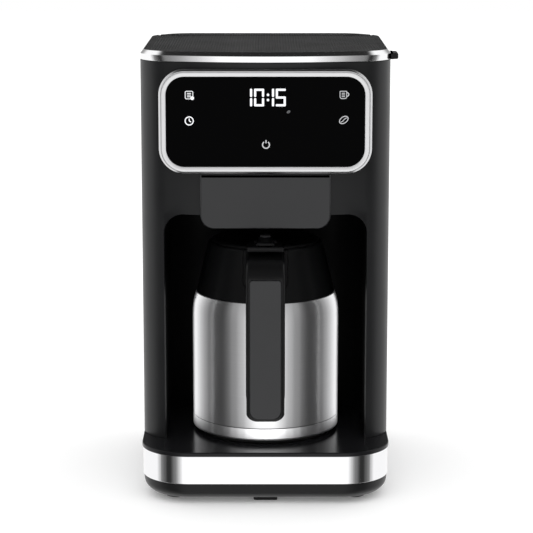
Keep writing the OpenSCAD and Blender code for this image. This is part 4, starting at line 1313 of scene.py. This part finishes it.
def cheek(middle):
    """One ear that holds the lever's pin: an upright round-topped tab, drawn out across the lid."""
    tab = outline([(lever_y - 2.4, lid_edge - 2), (lever_y + 2.4, lid_edge - 2),
                   (lever_y + 2.4, lever_z + 2.4),
                   (lever_y - 2.4, lever_z + 2.4)], [.2, .2, 2.3, 2.3], 8)
    line = profile([(.8, middle - 1.5), (0, middle - 1.5), (0, middle + 1.5), (.8, middle + 1.5)],
                   [0, .3, .3, 0])
    return carried(tab, line)[..., [2, 0, 1]], ("v0", "v1")


finished(surface("lever_cheeks", [cheek(-8.1), cheek(8.1)]), "stopper", "carafe_plastic")


def pad_block(x0, z0, x1, z1, y0, y1, corner, soft):
    """A block with rounded corners seen from the front and softened front and back edges."""
    shape = outline(rectangle(x0, z0, x1, z1), corner, 6)
    return upright(carried(shape, block(y0, y1, soft))), ("v0", "v1")


lever_low, lever_high = LOW["thumb_lever"], HIGH["thumb_lever"]
lever_half = lever_high[0]
thumb = pad_block(-lever_half, lever_low[2] + .4, lever_half, 214.8, lever_low[1], axis_y - 50, 1.9, 1.2)
knob = pad_block(-7.6, 213, 7.6, lever_high[2], axis_y - 67, axis_y - 55, [1, 1, 2.1, 2.1], 1.4)
tail_plan = outline(rectangle(-6, axis_y - 51, 6, lever_high[1]), [.4, .4, 4, 4], 8)
tail = surface("lever_tail", [(carried(tail_plan, block(211.7, 214.4, .4)), ("v0", "v1"))])
tail_hole = (turned([(3.4, 209), (3.4, 217)], 0, valve_y, 48), ("v0", "v1"))
finished(cut(tail, [tail_hole]), "lever", "carafe_plastic")
finished(surface("thumb_piece", [thumb, knob]), "lever", "carafe_plastic", ["thumb_lever"])

# %% [markdown]
# ## The parts that keep their CAD shape
# What lies inside, and the small turned parts, already have the right shape. They keep their meshes and
# only get their finish, by the slot that the record gives each node.

# %% Finishes of the carried-over nodes
replaced = {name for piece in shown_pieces() for name in piece.get("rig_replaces", [])}
slot_of = {part["node"]: part["material_slot"] for part in frame["record"]["subparts"]}
for name, part in frame["nodes"].items():
    for place in part.material_slots:
        place.material = FINISH[slot_of[name]]
print("carried-over nodes:", ", ".join(sorted(set(frame["nodes"]) - replaced)))

# %% [markdown]
# ## Floor and fill lights
# A plain white floor takes the contact shadow. The carafe's steel stands in a black alcove, where brushed
# metal would have nothing bright to show. So a ring of soft strips, which only the steel receives, draws
# its vertical highlights, and two flags keep the bright walls of the studio out of its sides.

# %% Floor
floor_mesh = bpy.data.meshes.new("floor")
reach = 6.0
floor_mesh.from_pydata([(-reach, -reach, 0), (reach, -reach, 0), (reach, reach, 0), (-reach, reach, 0)], [],
                       [(0, 1, 2, 3)])
floor = bpy.data.objects.new("floor", floor_mesh)
scene.collection.objects.link(floor)
floor_material = bpy.data.materials.new("floor_white")
floor_material.use_nodes = True
floor_bsdf = floor_material.node_tree.nodes["Principled BSDF"]
floor_bsdf.inputs["Base Color"].default_value = (.93, .93, .93, 1)
floor_bsdf.inputs["Roughness"].default_value = .9
floor_bsdf.inputs["Specular IOR Level"].default_value = 0.0
floor_bsdf.inputs["Emission Color"].default_value = (1, 1, 1, 1)
floor_bsdf.inputs["Emission Strength"].default_value = .13
floor_mesh.materials.append(floor_material)
floor.visible_glossy = False
floor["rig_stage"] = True

# %% [markdown]
# ## Flags beside the alcove
# A photographer stands black cards, called flags, beside a shiny thing to give its edges a dark line. These
# two do the same at the mouth of the alcove. They are faces that only polished surfaces see, so they darken
# a reflection without taking light from anything else. They are stage pieces, not a part of the machine.

# %% Flags beside the carafe
def flag(name, side_sign):
    """A black card beside the alcove's opening. Only polished surfaces see it, and it casts no shadow."""
    x, front, back = side_sign * alcove_half, tower_y - 26, tower_y + 11
    corners = [(x, front, deck_top + 2), (x, back, deck_top + 2), (x, back, alcove_top),
               (x, front, alcove_top)]
    mesh = bpy.data.meshes.new(name)
    mesh.from_pydata(np.array(corners) * MM, [], [(0, 1, 2, 3)])
    mesh.materials.append(FINISH["alcove_plastic"])
    made = bpy.data.objects.new(name, mesh)
    scene.collection.objects.link(made)
    made.visible_camera = made.visible_diffuse = made.visible_shadow = made.visible_transmission = False
    made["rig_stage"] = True


flag("flag_left", -1)
flag("flag_right", 1)

# %% [markdown]
# ## Strips of light for the carafe's steel
# Brushed steel is seen only by what it mirrors, and a black alcove would leave the carafe's sides black. So
# upright area lights stand on a ring just inside the alcove, each as bright as a table says for the direction
# in which the steel shows it. Light linking keeps them off everything but the steel. A bright world would
# reach the sides too, but it would light the plastic as well. The tables are fitted to the bands that the
# steel should show from the front, so they belong to this studio and say nothing about the steel itself.

# %% Soft strips for the steel only
STRIP_AWAY = alcove_half - .7
STRIP_STEP = 8
BODY_CARD = [(0, .5), (20, .5), (33, .32), (44, .3), (58, .08), (69, .05), (85, .04), (99, .13), (116, .37),
             (137, .81), (152, .97), (180, .97)]
BASE_CARD = [(0, 1.25), (20, 1.1), (33, .62), (44, .5), (58, .15), (70, .05), (180, .05)]


def seen_angle(theta):
    """Direction in which the steel, reflecting straight back to the front, shows the ring's point theta: the
    mirror angle whose ray from the steel meets the ring there, found on a table of such rays."""
    mirror = np.radians(np.linspace(0, 170, 86))
    p = carafe_r * np.stack([np.sin(mirror / 2), np.cos(mirror / 2)])
    d = np.stack([np.sin(mirror), np.cos(mirror)])
    along = (p * d).sum(0)
    meets = p + d * (np.sqrt(along ** 2 + STRIP_AWAY ** 2 - carafe_r ** 2) - along)
    return np.degrees(np.interp(np.radians(theta), np.arctan2(*meets), mirror))


def strip(theta, z0, z1, card, receivers):
    """An upright soft light just inside the alcove, on a ring round the carafe's axis. It is as bright as
    the card says for the direction in which the steel shows it, and only its receivers get its light."""
    lamp = bpy.data.lights.new(f"{receivers.name}_{theta}", "AREA")
    width, tall = 2 * STRIP_AWAY * math.tan(math.radians(STRIP_STEP / 2)) * MM, (z1 - z0) * MM
    lamp.shape, lamp.size, lamp.size_y = "RECTANGLE", width, tall
    lamp.energy = 4 * width * tall * np.interp(seen_angle(abs(theta)), *zip(*card))
    made = bpy.data.objects.new(lamp.name, lamp)
    turn_by = math.radians(theta)
    made.location = (STRIP_AWAY * math.sin(turn_by) * MM, (axis_y - STRIP_AWAY * math.cos(turn_by)) * MM,
                     (z0 + z1) / 2 * MM)
    made.rotation_euler = (math.pi / 2, 0, turn_by)
    made.visible_camera = False
    made.light_linking.receiver_collection = receivers
    scene.collection.objects.link(made)


BODY_REACH, BASE_REACH = 104, 48
BASE_STRIP_TOP = deck_top + 18
for names, card, reach_deg, top in ((("steel_body", "steel_base"), BODY_CARD, BODY_REACH, alcove_top - 2),
                                    (("steel_base",), BASE_CARD, BASE_REACH, BASE_STRIP_TOP)):
    receivers = bpy.data.collections.new("strips_for_" + names[-1] + f"_{len(names)}")
    for name in names:
        receivers.objects.link(bpy.data.objects[name])
    for theta in range(-reach_deg, reach_deg + 1, STRIP_STEP):
        strip(theta, deck_top + .4, top, card, receivers)
print("strips:", len(bpy.data.lights))

# %% [markdown]
# ## Close the scene
# Then it takes the bounds of every piece that is shown.

# %% Sizes and finish
low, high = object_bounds()
